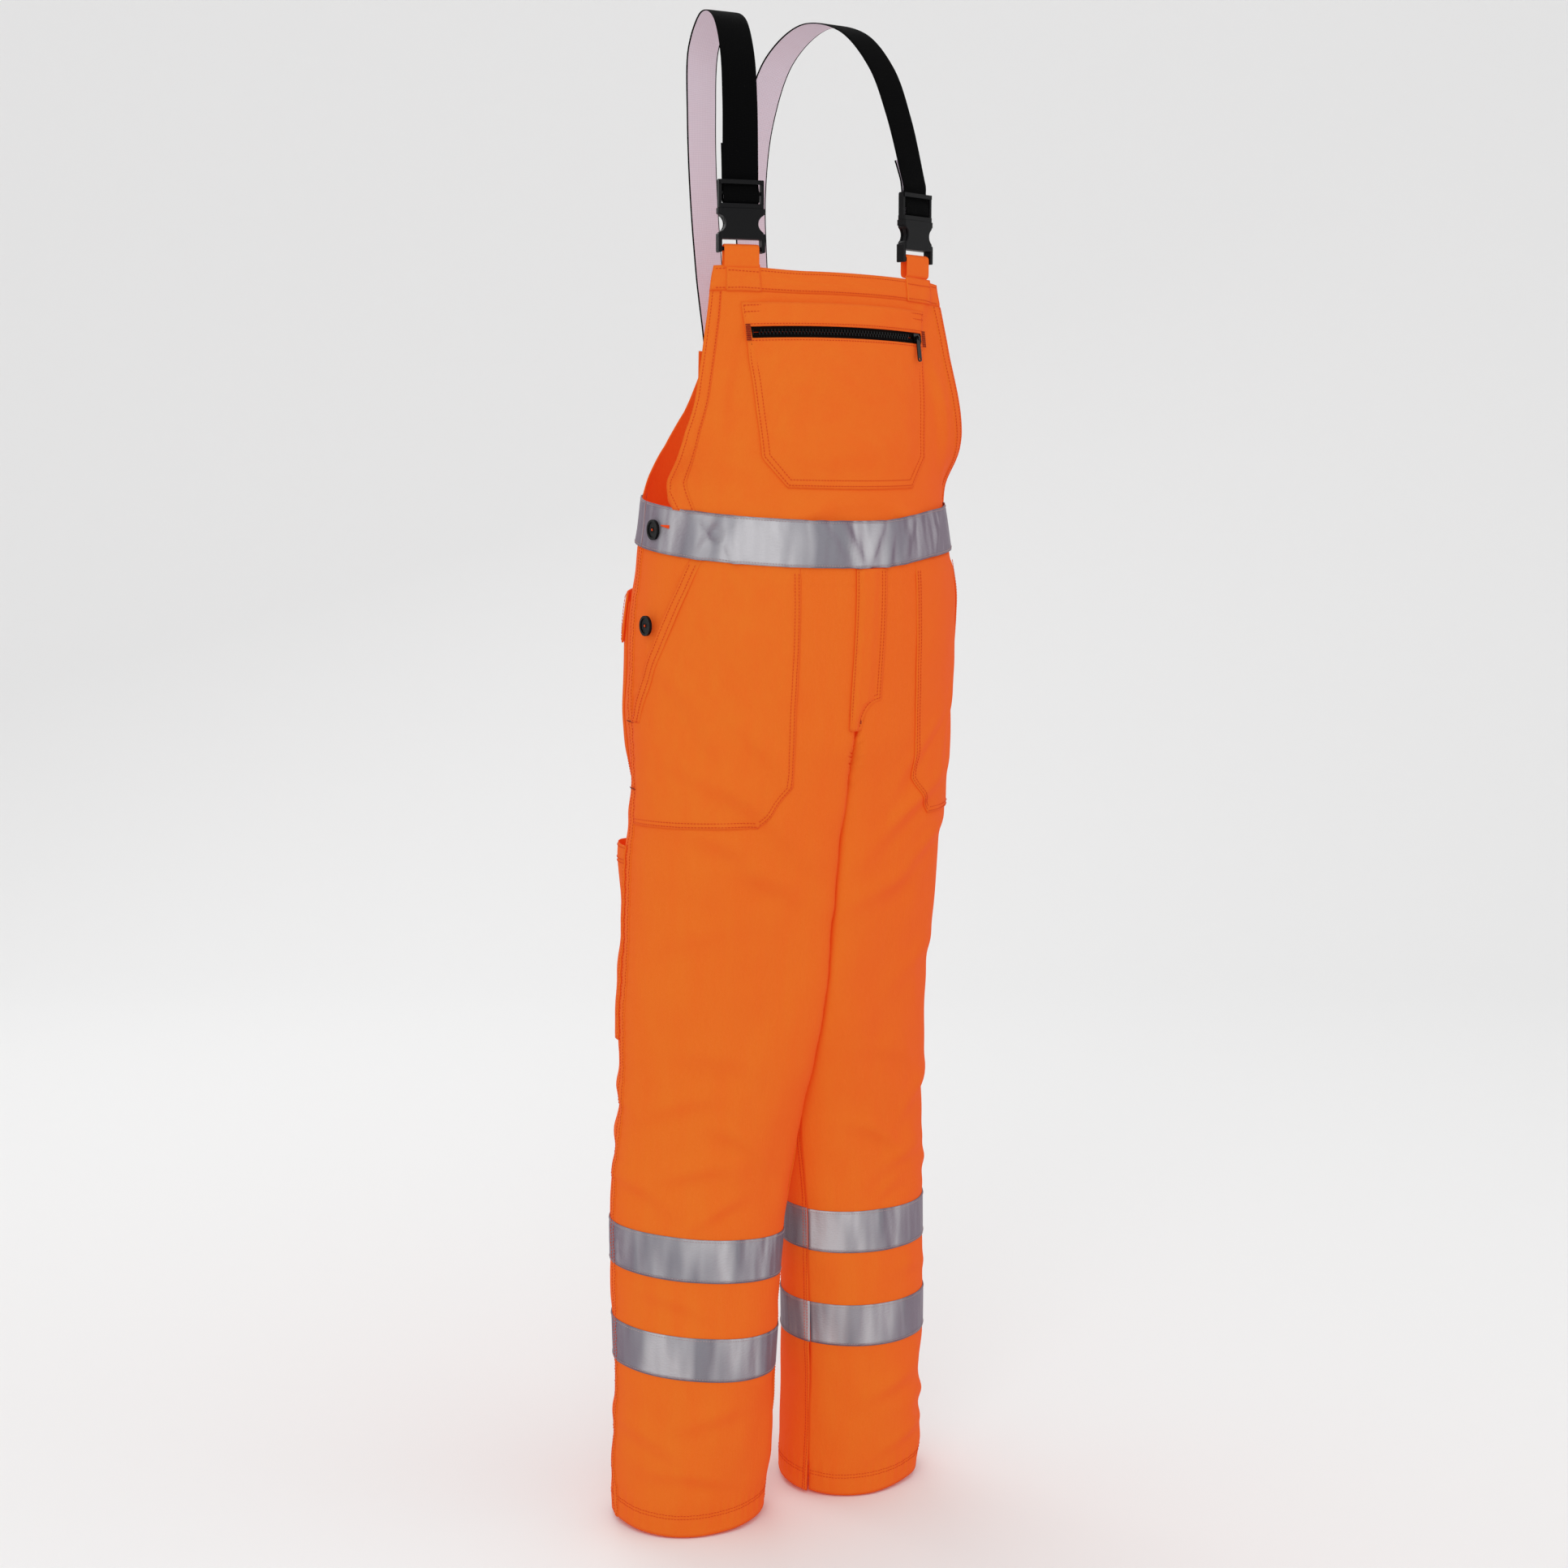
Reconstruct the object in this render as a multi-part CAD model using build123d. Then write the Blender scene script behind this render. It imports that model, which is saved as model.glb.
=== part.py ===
from build123d import *
import math
import os

# Bib-and-brace chainsaw overalls, standing as worn. Millimetres, +Z up, the wearer faces -Y and the
# wearer's right is -X. Origin: on the floor plane of the hems, under the middle of the waist.
# "Depth" is a distance inside the outer cloth; a negative depth lies outside it.

# ---- driving sizes ----
WAIST = 1144.0  # height of the seam between trousers and bib, above the origin
WAIST_TILT = 8.25  # degrees: that seam is lower in front than behind
CROTCH = 826.0
BIB_TOP = 1420.0
BACK_TOP = 1345.0
CLOTH = 1.2
GAP = 0.5  # air between neighbouring layers
PAD = 5.5
LINING = 0.8
TAPE = 0.8
TAPE_WIDTH = 50.0
HEM_HEIGHT = 32.0
SIDES = 16  # flats round a body or leg section
LEG_TURN = 17.0  # the wide axis of a leg section points this much forward of the other leg
BIB_LEAN = 9.4  # degrees
BIB_RADIUS = 420.0
BIB_BEND = 1290.0  # above this height the bib keeps its radius
BIB_FRONT = -104.0  # y of the bib's middle at that height
BRACE_WIDTH = 40.0
BRACE_THICK = 1.6
BRACE_PLAY = 2.2  # room between the braces' sewn ends and the patch over them
BUCKLE_X = 115.0
BUCKLE_Z = 1437.0
BUCKLE_TURN = -15.0  # the right buckle faces a little outwards
BUCKLE_WIDTH = 52.0
BUCKLE_DEPTH = 12.0
ZIP_LEVEL = 1355.0
ZIP_HALF = 112.0
TOOTH_PITCH = 4.0
FLY_TOP = (-130.6, 1094.0)  # (y, z) on the front centre line
FLY_FOOT = (-112.0, 935.0)
BUTTON_R = 11.0
FLAP_HEIGHT = 52.0

# height, centre across, centre back, half of the wide axis, half of the other, of the right leg
LEG = [
    (0, -112, 56, 88, 78),
    (170, -112, 45, 91, 76),
    (360, -109, 41, 99, 67),
    (460, -98, 36, 107, 70),
    (640, -82, 20, 120, 74),
    (740, -78, 13, 124, 80),
    (CROTCH + 20, -84, 6, 115, 92),
]
# the same for the body
BODY = [
    (CROTCH, 0, 8, 195, 98),
    (900, 0, 12, 199, 120),
    (960, 0, 12, 200, 126),
    (1044, 0, 8, 200, 132.5),
    (1100, 0, 2, 192, 132),
    (WAIST, 0, 0, 187, 131),
    (1230, 0, 4, 172, 122),
    (BACK_TOP + 40, 0, 14, 150, 107),
]

PARTS = {}


def keep(name, *shapes):
    """Stores the solids of one named piece."""
    solids = [s for shape in shapes for s in shape.solids()]
    PARTS[name] = Compound(children=solids) if len(solids) > 1 else solids[0]


def pair(name, *shapes):
    """Stores a right-hand piece and its mirror image for the left."""
    keep("right_" + name, *shapes)
    keep("left_" + name, *[mirror(s, about=Plane.YZ) for s in shapes])


def row_at(rows, level):
    """Row of a table at a height, straight between its rows."""
    for low, high in zip(rows, rows[1:]):
        if level <= high[0]:
            t = (level - low[0]) / (high[0] - low[0])
            return [a + (b - a) * t for a, b in zip(low, high)]
    return list(rows[-1])


def span_box(x0, x1, y0, y1, z0, z1):
    return Pos((x0 + x1) / 2, (y0 + y1) / 2, (z0 + z1) / 2) * Box(x1 - x0, y1 - y0, z1 - z0)


def prism(plane, points, reach=400):
    """Solid that stands on an outline and runs both ways from its plane."""
    return extrude(plane * make_face(Polyline(*points, close=True)), reach, both=True)


# ---- many-sided solids: every flat keeps its direction from section to section, so it stays plane ----
def corners(row, turn, depth):
    """Corners of a section: the flats' lines, moved in by a depth, meet there."""
    level, cx, cy, wide, deep = row
    step = 2 * math.pi / SIDES
    lift = math.radians(turn)
    reach = []
    for k in range(SIDES + 1):
        nx, ny = math.cos(k * step), math.sin(k * step)
        along = nx * math.cos(lift) - ny * math.sin(lift)
        across = nx * math.sin(lift) + ny * math.cos(lift)
        reach.append(cx * nx + cy * ny + math.hypot(wide * along, deep * across) - depth)
    points = []
    for k in range(SIDES):
        nx, ny = math.cos(k * step), math.sin(k * step)
        slide = (reach[k + 1] - reach[k] * math.cos(step)) / math.sin(step)
        points.append(Vector(nx * reach[k] - ny * slide, ny * reach[k] + nx * slide, level))
    return points


def solid_of(sections, twisted=False):
    """Closed solid from rings of corners; a twisted one has each side split into two triangles."""
    faces = [Face(Wire.make_polygon(sections[0])), Face(Wire.make_polygon(sections[-1]))]
    for low, high in zip(sections, sections[1:]):
        for k in range(len(low)):
            n = (k + 1) % len(low)
            if twisted:
                faces.append(Face(Wire.make_polygon([low[k], low[n], high[n]])))
                faces.append(Face(Wire.make_polygon([low[k], high[n], high[k]])))
            else:
                faces.append(Face(Wire.make_polygon([low[k], low[n], high[n], high[k]])))
    solid = Solid(Shell(faces))
    return solid if solid.volume > 0 else Solid(solid.wrapped.Reversed())


def stack(rows, turn, depth, low, high):
    levels = [low] + [r[0] for r in rows if low + 0.5 < r[0] < high - 0.5] + [high]
    sections = []
    for level in levels:
        row = row_at(rows, min(max(level, rows[0][0]), rows[-1][0]))
        row[0] = level
        sections.append(corners(row, turn, depth))
    return solid_of(sections)


def body(depth, low, high):
    return stack(BODY, 0, depth, low, high)


def leg(depth, low, high):
    return stack(LEG, LEG_TURN, depth, low, high) - span_box(-GAP / 2 - depth, 200, -400, 400, low, high)


def trouser_form(depth, hollow):
    """Right half of the trousers as one solid; the hollow one runs on past every open end."""
    run = 5 if hollow else 0
    top = body(depth, CROTCH + depth, WAIST + 40)
    middle = 6 if hollow else -GAP / 2
    top -= span_box(middle, 400, -400, 400, 0, 1300)
    return leg(depth, -run, CROTCH + 20) + top


def trouser_skin(near, far):
    return trouser_form(near, False) - trouser_form(far, True)


def waist_slab(low, high):
    """Thick plate between two heights, tilted like the waist seam."""
    plate = span_box(-300, 300, -300, 300, low - WAIST, high - WAIST)
    return Pos(0, 0, WAIST) * Rot(WAIST_TILT, 0, 0) * plate


def front_block(shift):
    """Everything in front of the side seam and the inseam of the right leg."""
    tilt = math.radians(LEG_TURN + 1)
    sections = []
    for level, cx, cy, _, _ in [(-10, -112, 57, 0, 0)] + LEG[1:] + [(1300, -84, 6, 0, 0)]:
        y = cy + shift
        slope = math.tan(tilt)
        left = Vector(cx - 300, y + 300 * slope, level)
        right = Vector(cx + 160, y - 160 * slope, level)
        sections.append([left, right, Vector(right.X, -500, level), Vector(left.X, -500, level)])
    return solid_of(sections)


def trousers():
    outer = trouser_skin(0, CLOTH) - waist_slab(WAIST - GAP, WAIST + 200)
    ahead = outer & front_block(-GAP / 2)
    pair("front_leg", ahead - span_box(-8, 8, -300, 0, FLY_FOOT[1], WAIST))
    pair("back_leg", outer - front_block(GAP / 2))
    near = CLOTH + GAP
    slab = span_box(-400, 0, -400, 400, 60, 800)
    pad = trouser_skin(near, near + PAD) & slab & front_block(-9)
    pair("cut_pad", pad - span_box(-18, 0, -400, 400, 0, 900))
    near += PAD + GAP
    slab = span_box(-400, 0, -400, 400, 45, 815)
    lining = trouser_skin(near, near + LINING) & slab & front_block(-6)
    pair("pad_lining", lining)
    pair("hem_facing", leg_band(1, HEM_HEIGHT, CLOTH + GAP, 2 * CLOTH + GAP))


def leg_band(low, high, near, far):
    ring = stack(LEG, LEG_TURN, near, low, high)
    return ring - stack(LEG, LEG_TURN, far, low - 1, high + 1)


def tapes():
    for name, low in (("upper_leg_tape", 308), ("lower_leg_tape", 194)):
        pair(name, leg_band(low, low + TAPE_WIDTH, -GAP - TAPE, -GAP))


# ---- waist ----
def waist():
    half = TAPE_WIDTH / 2
    ring = body(-GAP - TAPE, 1080, 1210) - body(-GAP, 1070, 1220)
    ring &= waist_slab(WAIST - half, WAIST + half)
    split = 14
    keep("front_waist_tape", ring & span_box(-300, 300, -300, split - GAP, 1000, 1300))
    keep("back_waist_tape", ring & span_box(-300, 300, split, 300, 1000, 1300))
    near = CLOTH + GAP
    band = body(near, 1080, 1210) - body(near + 2, 1070, 1220)
    band &= waist_slab(WAIST - half + 1, WAIST - 2)
    front = band & span_box(-300, 300, -300, split - GAP, 1000, 1300)
    keep("front_waistband", front - span_box(-18, 18, -300, 0, 1000, 1300))
    keep("back_waistband", band & span_box(-300, 300, split, 300, 1000, 1300))
    near += 2 + GAP
    elastic = body(near, 1080, 1210) - body(near + 2, 1070, 1220)
    elastic &= waist_slab(WAIST - half + 2, WAIST - 3)
    keep("waist_elastic", elastic & span_box(-300, 300, 40, 300, 1000, 1300))


# ---- bib: an arc leans back from the waist seam; above the bend it keeps its radius ----
BIB_FRAME = Pos(0, BIB_FRONT, BIB_BEND) * Rot(-BIB_LEAN, 0, 0)
BIB_HEIGHT = (BIB_TOP - BIB_BEND) / math.cos(math.radians(BIB_LEAN))
BIB_OUTLINE = [(172, 1100), (177, 1256), (161, 1355), (148.5, BIB_TOP + 1)]


def arc_rib(depth_near, depth_far, half, radius, frame):
    """Section of a curved sheet: two arcs about one centre behind the sheet, joined at their ends."""
    ends = []
    for depth in (depth_near, depth_far):
        r = radius - depth
        a = half / radius
        points = [(r * math.sin(t), radius - r * math.cos(t)) for t in (-a, 0, a)]
        ends.append(ThreePointArc(*[(x, y, 0) for x, y in points]))
    near, far = ends
    rib = Wire([near.edge(), Line(near @ 1, far @ 1).edge(), far.edge(), Line(far @ 0, near @ 0).edge()])
    return frame * rib


def bib_block(near, far):
    """Curved layer over the whole bib, still to be cut to its outline."""
    foot = Pos(0, -131, WAIST - 18) * Rot(WAIST_TILT, 0, 0)
    top = BIB_FRAME * Pos(0, 0, BIB_HEIGHT)
    lower = Solid.make_loft(
        [arc_rib(near, far, 185, 205, foot), arc_rib(near, far, 190, BIB_RADIUS, BIB_FRAME)], ruled=True
    )
    upper = Solid.make_loft(
        [arc_rib(near, far, 190, BIB_RADIUS, BIB_FRAME), arc_rib(near, far, 190, BIB_RADIUS, top)], ruled=True
    )
    return lower + upper


def both_sides(points):
    return points + [(-x, z) for x, z in reversed(points)]


def bib():
    sheet = bib_block(0, CLOTH) & prism(Plane.XZ, both_sides(BIB_OUTLINE))
    keep("bib_panel", sheet - waist_slab(WAIST - 90, WAIST + GAP))
    inset = [(x - 6, z) for x, z in BIB_OUTLINE]
    lining = bib_block(CLOTH + GAP, CLOTH + GAP + LINING) & prism(Plane.XZ, both_sides(inset))
    keep("bib_lining", lining - waist_slab(WAIST - 90, WAIST + 4))
    bag = bib_block(-4.8, -GAP) & prism(Plane.XZ, both_sides([(88, 1195), (112, 1221), (120, 1386)]))
    hollow = bib_block(-3.6, 0) & prism(Plane.XZ, both_sides([(82, 1201), (106, 1223), (114, 1380)]))
    keep("bib_pocket", bag - hollow - span_box(-115, 115, -160, 0, ZIP_LEVEL - 8, ZIP_LEVEL + 8))


# ---- back panel and the patch that holds the braces ----
def back():
    shell = body(0, 1100, BACK_TOP) - body(CLOTH, 1090, BACK_TOP + 5)
    outline = [(160, 1100), (160, 1166), (150, 1190), (118, 1225), (86, 1270), (60, 1314), (50, 1346)]
    sheet = shell & prism(Plane.XZ, both_sides(outline)) & span_box(-300, 300, 10, 300, 1000, 1400)
    keep("back_panel", sheet - waist_slab(WAIST - 90, WAIST + GAP))
    near = -GAP - BRACE_THICK - BRACE_PLAY
    patch = body(near - CLOTH, 1297, BACK_TOP - 1) - body(near, 1290, BACK_TOP + 5)
    keep("brace_anchor_patch", patch & span_box(-56, 56, 10, 300, 1200, 1400))


# ---- patch pockets on the trousers ----
def hip_pocket():
    sheet = trouser_skin(-GAP - CLOTH, -GAP) & front_block(-1)
    top, foot = 1098, CROTCH + 4
    sheet &= prism(Plane.XZ, [(-88, top), (-88, 868), (-122, foot), (-300, foot), (-300, top)])
    opening = [(-55, top + 1), (27, 932), (120, 932), (120, top + 1)]
    pair("hip_pocket", sheet - prism(Plane.YZ, opening))


def back_pocket():
    shell = trouser_skin(-GAP - CLOTH, -GAP)
    pair("back_pocket", shell & span_box(-152, -48, 20, 300, 868, 1066))
    near = -2 * GAP - CLOTH
    lid = trouser_skin(near - CLOTH, near)
    pair("back_flap", lid & span_box(-154, -46, 20, 300, 1076 - FLAP_HEIGHT, 1076))


def rule_pocket():
    """Long narrow pocket for a folding rule, on the back of the right thigh."""
    bag = leg(-GAP - 2.4, 500, 820) - leg(-GAP, 490, 821)
    hollow = leg(-GAP - 1.2, 500, 820)
    bag &= span_box(-208, -130, 40, 300, 570, 794)
    keep("rule_pocket", bag - (hollow & span_box(-204, -134, 30, 300, 577, 800)))


# ---- zips ----
def tooth(side):
    """One zip tooth: a block with a rounded head that reaches just past the middle."""
    return Pos(1.75 * side, 0, 0) * (Box(2.6, 1.5, 2.2) + Pos(-1.3 * side, 0, 0) * Cylinder(0.75, 2.2))


def slider(loop_turn):
    """Zip slider: two plates joined at the open end of the chain (+Y), and a loop for the pull."""
    body_ = Pos(0, 0, 2.1) * Box(9, 9, 0.9) + Pos(0, 0, -2.1) * Box(9, 9, 0.9)
    body_ += Pos(0, 4.0, 0) * Box(1.6, 1.0, 5)
    loop = Cylinder(2.3, 1.6) - Cylinder(0.85, 2)
    return body_ + Pos(0, 0, 4.4) * Rot(0, 0, loop_turn) * Rot(0, 90, 0) * loop


def pull(length):
    """Pull tab that hangs towards -Y from its pin at the origin."""
    tab = span_box(-3, 3, 3 - length, -3.2, -0.6, 0.6) + Pos(0, 3 - length, 0) * Cylinder(3, 1.2)
    tab -= Pos(0, 3 - length, 0) * Cylinder(1.5, 5)
    for s in (-1, 1):
        tab += span_box(s * 1.9 - 0.7, s * 1.9 + 0.7, -6, 0.7, -0.7, 0.7)
    return tab + Rot(0, 90, 0) * Cylinder(0.75, 4)


FLY_SLOPE = math.atan2(FLY_FOOT[0] - FLY_TOP[0], FLY_TOP[1] - FLY_FOOT[1])
FLY_LENGTH = math.hypot(FLY_FOOT[0] - FLY_TOP[0], FLY_TOP[1] - FLY_FOOT[1])
# x across, y up the fly, z out of the cloth; origin at the top of the fly
FLY_FRAME = Pos(0, *FLY_TOP) * Rot(90 + math.degrees(FLY_SLOPE), 0, 0)
FLY_CHAIN = -4.5


def fly():
    low = -FLY_LENGTH
    strips = [span_box(x, x + 10.8, low + 2, -1, FLY_CHAIN - 0.3, FLY_CHAIN + 0.3) for x in (-14, 3.2)]
    keep("fly_zip_tapes", *[FLY_FRAME * s for s in strips])
    teeth = []
    for i in range(int((FLY_LENGTH - 22) / TOOTH_PITCH)):
        y = -14 - i * TOOTH_PITCH
        teeth.append(FLY_FRAME * Pos(0, y, FLY_CHAIN) * tooth(1))
        teeth.append(FLY_FRAME * Pos(0, y - TOOTH_PITCH / 2, FLY_CHAIN) * tooth(-1))
    keep("fly_zip_teeth", *teeth)
    seat = FLY_FRAME * Pos(0, -7, FLY_CHAIN)
    keep("fly_zip_slider", seat * slider(0))
    keep("fly_zip_pull", seat * Pos(0, 0, 4.4) * pull(22))
    flap = span_box(-9, 32, low + 3, -2, 3.6, 3.6 + CLOTH) + span_box(30.8, 32, low + 3, -2, GAP, 4)
    keep("fly_flap", FLY_FRAME * flap)


ZIP_RISE = (ZIP_LEVEL - BIB_BEND) / math.cos(math.radians(BIB_LEAN))
CHAIN_OUT = 3.3  # the middle of the zip chain stands this far in front of the bib


def zip_seat(along):
    """Frame on the bib's zip: x along the arc, y up, z out of the bib."""
    a = math.degrees(along / BIB_RADIUS)
    around = Pos(0, BIB_RADIUS, ZIP_RISE) * Rot(0, 0, a) * Pos(0, -BIB_RADIUS - CHAIN_OUT, 0)
    return BIB_FRAME * around * Rot(90, 0, 0)


def bib_zip():
    strips = []
    for low in (3.2, -12):
        ring = Cylinder(BIB_RADIUS + CHAIN_OUT + 0.1, 8.8) - Cylinder(BIB_RADIUS + CHAIN_OUT - 0.3, 9)
        ring &= span_box(-ZIP_HALF + 1, ZIP_HALF - 1, -500, 0, -20, 20)
        strips.append(BIB_FRAME * Pos(0, BIB_RADIUS, ZIP_RISE + low + 4.4) * ring)
    keep("bib_zip_tapes", *strips)
    turn = Rot(0, 0, -90)
    teeth = []
    for i in range(int((2 * ZIP_HALF - 28) / TOOTH_PITCH)):
        along = -ZIP_HALF + 8 + i * TOOTH_PITCH
        teeth.append(zip_seat(along) * turn * tooth(1))
        teeth.append(zip_seat(along + TOOTH_PITCH / 2) * turn * tooth(-1))
    keep("bib_zip_teeth", *teeth)
    keep("bib_zip_stops", *[zip_seat(s * (ZIP_HALF - 1)) * Box(1.2, 5.6, 2.4) for s in (-1, 1)])
    seat = zip_seat(ZIP_HALF - 10)
    keep("bib_zip_slider", seat * turn * slider(90))
    keep("bib_zip_pull", seat * Pos(0, 0, 4.4) * pull(27))


# ---- braces and buckles, drawn upright at the middle and then set in place ----
def bib_height_y(x, z):
    """y of the bib's outer cloth above its bend."""
    rise = (z - BIB_BEND) * math.tan(math.radians(BIB_LEAN))
    return BIB_FRONT + rise + BIB_RADIUS - math.sqrt(BIB_RADIUS**2 - x * x)


BUCKLE_SEAT = Pos(-BUCKLE_X, bib_height_y(BUCKLE_X, BIB_TOP) + 1.0, BUCKLE_Z) * Rot(0, 0, BUCKLE_TURN)


def socket():
    half, d = BUCKLE_WIDTH / 2, BUCKLE_DEPTH / 2
    body_ = fillet(span_box(-half + 1.5, half - 1.5, -d, d, 14, 46).edges().filter_by(Axis.Z), 3)
    body_ += fillet(span_box(-half, half, -d, d, 40, 46).edges().filter_by(Axis.Z), 3)
    for s in (-1, 1):
        arm = span_box(s * half - 4 * (s > 0), s * half + 4 * (s < 0), -d + 1, d - 1, 0, 20)
        body_ += fillet(arm.edges().filter_by(Axis.Y), 1.5)
    body_ += Pos(0, 0, 4) * Rot(0, 90, 0) * Cylinder(2.2, BUCKLE_WIDTH - 4)
    body_ -= span_box(-20.5, 20.5, -d + 2, d - 2, 16, 50)
    for s in (-1, 1):
        body_ -= Pos(s * (half + 1.5), 0, 30) * Rot(90, 0, 0) * Cylinder(9.5, 40)
    return body_


PRONG_ROOT = (13.0, 43.0)


def plug():
    half, d = BUCKLE_WIDTH / 2, BUCKLE_DEPTH / 2
    base = span_box(-half + 1, half - 1, -d + 1, d - 1, 46.4, 51)
    body_ = fillet(base.edges().filter_by(Axis.Z), 2) + span_box(-19.5, 19.5, -2.5, 2.5, 41, 46.5)
    body_ += span_box(-3.5, 3.5, -3, 3, 22, 42)
    for s in (-1, 1):
        rail = span_box(s * half - 3 * (s > 0) - s, s * half + 3 * (s < 0) - s, -3.5, 3.5, 50, 76)
        body_ += fillet(rail.edges().filter_by(Axis.X).group_by(Axis.Z)[-1], 2)
    body_ += Pos(0, -3.2, 73.5) * span_box(-half + 2, half - 2, -1.6, 1.6, -2.2, 2.2)
    body_ += Pos(0, 0, 62) * Rot(0, 90, 0) * Cylinder(1.9, BUCKLE_WIDTH - 6)
    for s in (-1, 1):
        body_ -= Pos(s * PRONG_ROOT[0], 0, PRONG_ROOT[1]) * Rot(90, 0, 0) * Cylinder(2.08, 20)
        body_ -= span_box(s * 16.5 - 5, s * 16.5 + 5, -4, 4, 40, 43.2)
    return body_


def prong(s):
    """Springy side arm of the plug; its thumb pad fills the notch in the socket's side."""
    root_x, root_z = PRONG_ROOT
    arm = Pos(s * root_x, 0, root_z) * Rot(90, 0, 0) * Cylinder(2.0, 5)
    pad = [(12.2, 42.4), (14.8, 42.4), (17.5, 37.5), (20.2, 37), (17.4, 30), (19.5, 23.5), (17, 20), (14, 20)]
    outline = [(s * x, z) for x, z in pad] + [(s * 13.4, 32)]
    return arm + prism(Plane.XZ, outline, 2.5)


# right brace from the patch over the shoulder, x, y, z
BRACE_PATH = [
    (-31, 133, 1430),
    (-34, 141, 1530),
    (-41, 133, 1610),
    (-52, 98, 1675),
    (-66, 42, 1705),
    (-82, -10, 1692),
    (-97, -45, 1650),
    (-108, -60, 1595),
]
BRACE_STATIONS = 28


def back_y(level):
    _, _, cy, _, deep = row_at(BODY, level)
    return cy + deep


def brace_band():
    """Elastic band: straight under the patch, then a smooth run to the buckle, from flat sections."""
    lift = GAP + BRACE_THICK / 2
    sewn, leaves = [Vector(-27, back_y(z) + lift, z) for z in (1303, 1342)]
    foot = (BUCKLE_SEAT * Pos(0, 0.6, 84)).position
    rise = (leaves - sewn).normalized()
    spine = Spline(leaves, *BRACE_PATH, foot, tangents=[rise, (0, 0, -1)])
    places = [(sewn, rise, 0)]
    for i in range(BRACE_STATIONS + 1):
        t = i / BRACE_STATIONS
        places.append((spine @ t, spine % t, BUCKLE_TURN * t * t))
    sections = []
    for centre, along, turn in places:
        across = Vector(math.cos(math.radians(turn)), math.sin(math.radians(turn)), 0)
        across = (across - along * across.dot(along)).normalized() * (BRACE_WIDTH / 2)
        out = across.cross(along).normalized() * (BRACE_THICK / 2)
        sections.append([centre - across - out, centre + across - out, centre + across + out, centre - across + out])
    return solid_of(sections, True)


def brace_loop():
    """Foot of the band: behind the top bar, round the adjuster bar, and a short tail up the back."""
    with BuildPart() as loop:
        with BuildSketch(Plane.YZ):
            with BuildLine():
                down = Polyline((0.6, 84), (0.6, 74), (-1.2, 67.5), (-3.1, 63.5), (-3.1, 61))
                bend = ThreePointArc(down @ 1, (0, 58.6), (3.1, 61.5))
                tail = Polyline(bend @ 1, (3.3, 74), (3.3, 112))
            trace([down, bend, tail], line_width=BRACE_THICK)
        extrude(amount=BRACE_WIDTH / 2, both=True)
    return loop.part


def buckle_tab():
    """Cloth loop that hangs the socket on the bib: closed round the bar, with a tail inside the bib."""
    outer = SlotCenterToCenter(17, 8)
    inner = SlotCenterToCenter(17, 8 - 2 * CLOTH)
    loop = Pos(0, 0, -4.0) * extrude(Plane.YZ * Rot(0, 0, 90) * (outer - inner), 19.5, both=True)
    return loop + span_box(-19.5, 19.5, 2.8, 4.0, -48, -12)


def braces():
    pair("buckle_socket", BUCKLE_SEAT * socket())
    pair("buckle_plug", BUCKLE_SEAT * plug())
    pair("outer_prong", BUCKLE_SEAT * prong(-1))
    pair("inner_prong", BUCKLE_SEAT * prong(1))
    pair("buckle_tab", BUCKLE_SEAT * buckle_tab())
    pair("brace", brace_band() + BUCKLE_SEAT * brace_loop())


# ---- hip buttons, sewn beside the two side openings ----
def button():
    """Four-hole button with a raised rim, facing +Z, its back at the origin."""
    disc = Pos(0, 0, 1.6) * Cylinder(BUTTON_R, 3.2) - Pos(0, 0, 3) * Cylinder(BUTTON_R - 2.6, 1.6)
    for i in range(4):
        disc -= Rot(0, 0, 45 + 90 * i) * Pos(2.6, 0, 0) * Cylinder(0.9, 20)
    return disc


def buttons():
    lift = 3.4
    seats = []
    for y, z in ((-9, WAIST), (-14, 1041)):
        _, _, _, wide, _ = row_at(BODY, z)
        seats.append(Pos(-wide - lift, y, z) * Rot(0, -90, 0))
    pair("hip_buttons", *[seat * button() for seat in seats])
    pair("button_threads", *[seat * Pos(0, 0, -1) * Cylinder(1.3, 1.6) for seat in seats])


trousers()
tapes()
waist()
bib()
back()
hip_pocket()
back_pocket()
rule_pocket()
fly()
bib_zip()
braces()
buttons()

os.makedirs("parts", exist_ok=True)
for node, shape in PARTS.items():
    export_step(shape, f"parts/{node}.step")
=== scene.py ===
import math

import bpy
import numpy as np
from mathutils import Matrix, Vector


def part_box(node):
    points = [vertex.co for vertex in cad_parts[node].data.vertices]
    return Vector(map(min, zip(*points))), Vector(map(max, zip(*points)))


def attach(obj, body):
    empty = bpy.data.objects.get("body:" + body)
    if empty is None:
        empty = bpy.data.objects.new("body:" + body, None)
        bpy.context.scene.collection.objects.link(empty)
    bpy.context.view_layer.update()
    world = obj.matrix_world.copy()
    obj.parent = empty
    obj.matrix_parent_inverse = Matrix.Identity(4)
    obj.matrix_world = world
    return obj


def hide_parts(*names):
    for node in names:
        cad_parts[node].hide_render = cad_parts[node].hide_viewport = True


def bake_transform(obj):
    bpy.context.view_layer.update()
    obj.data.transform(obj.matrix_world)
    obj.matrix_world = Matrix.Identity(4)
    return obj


# Chainsaw bib overalls over the CAD frame. Shapes are worked out in millimetres and scaled once, when a
# mesh is made. The right half is modelled and the left half is its mirror image with its own folds.
# "Lift" is a distance outside the cloth; "level" is a height before the waist line's tilt.

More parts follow.
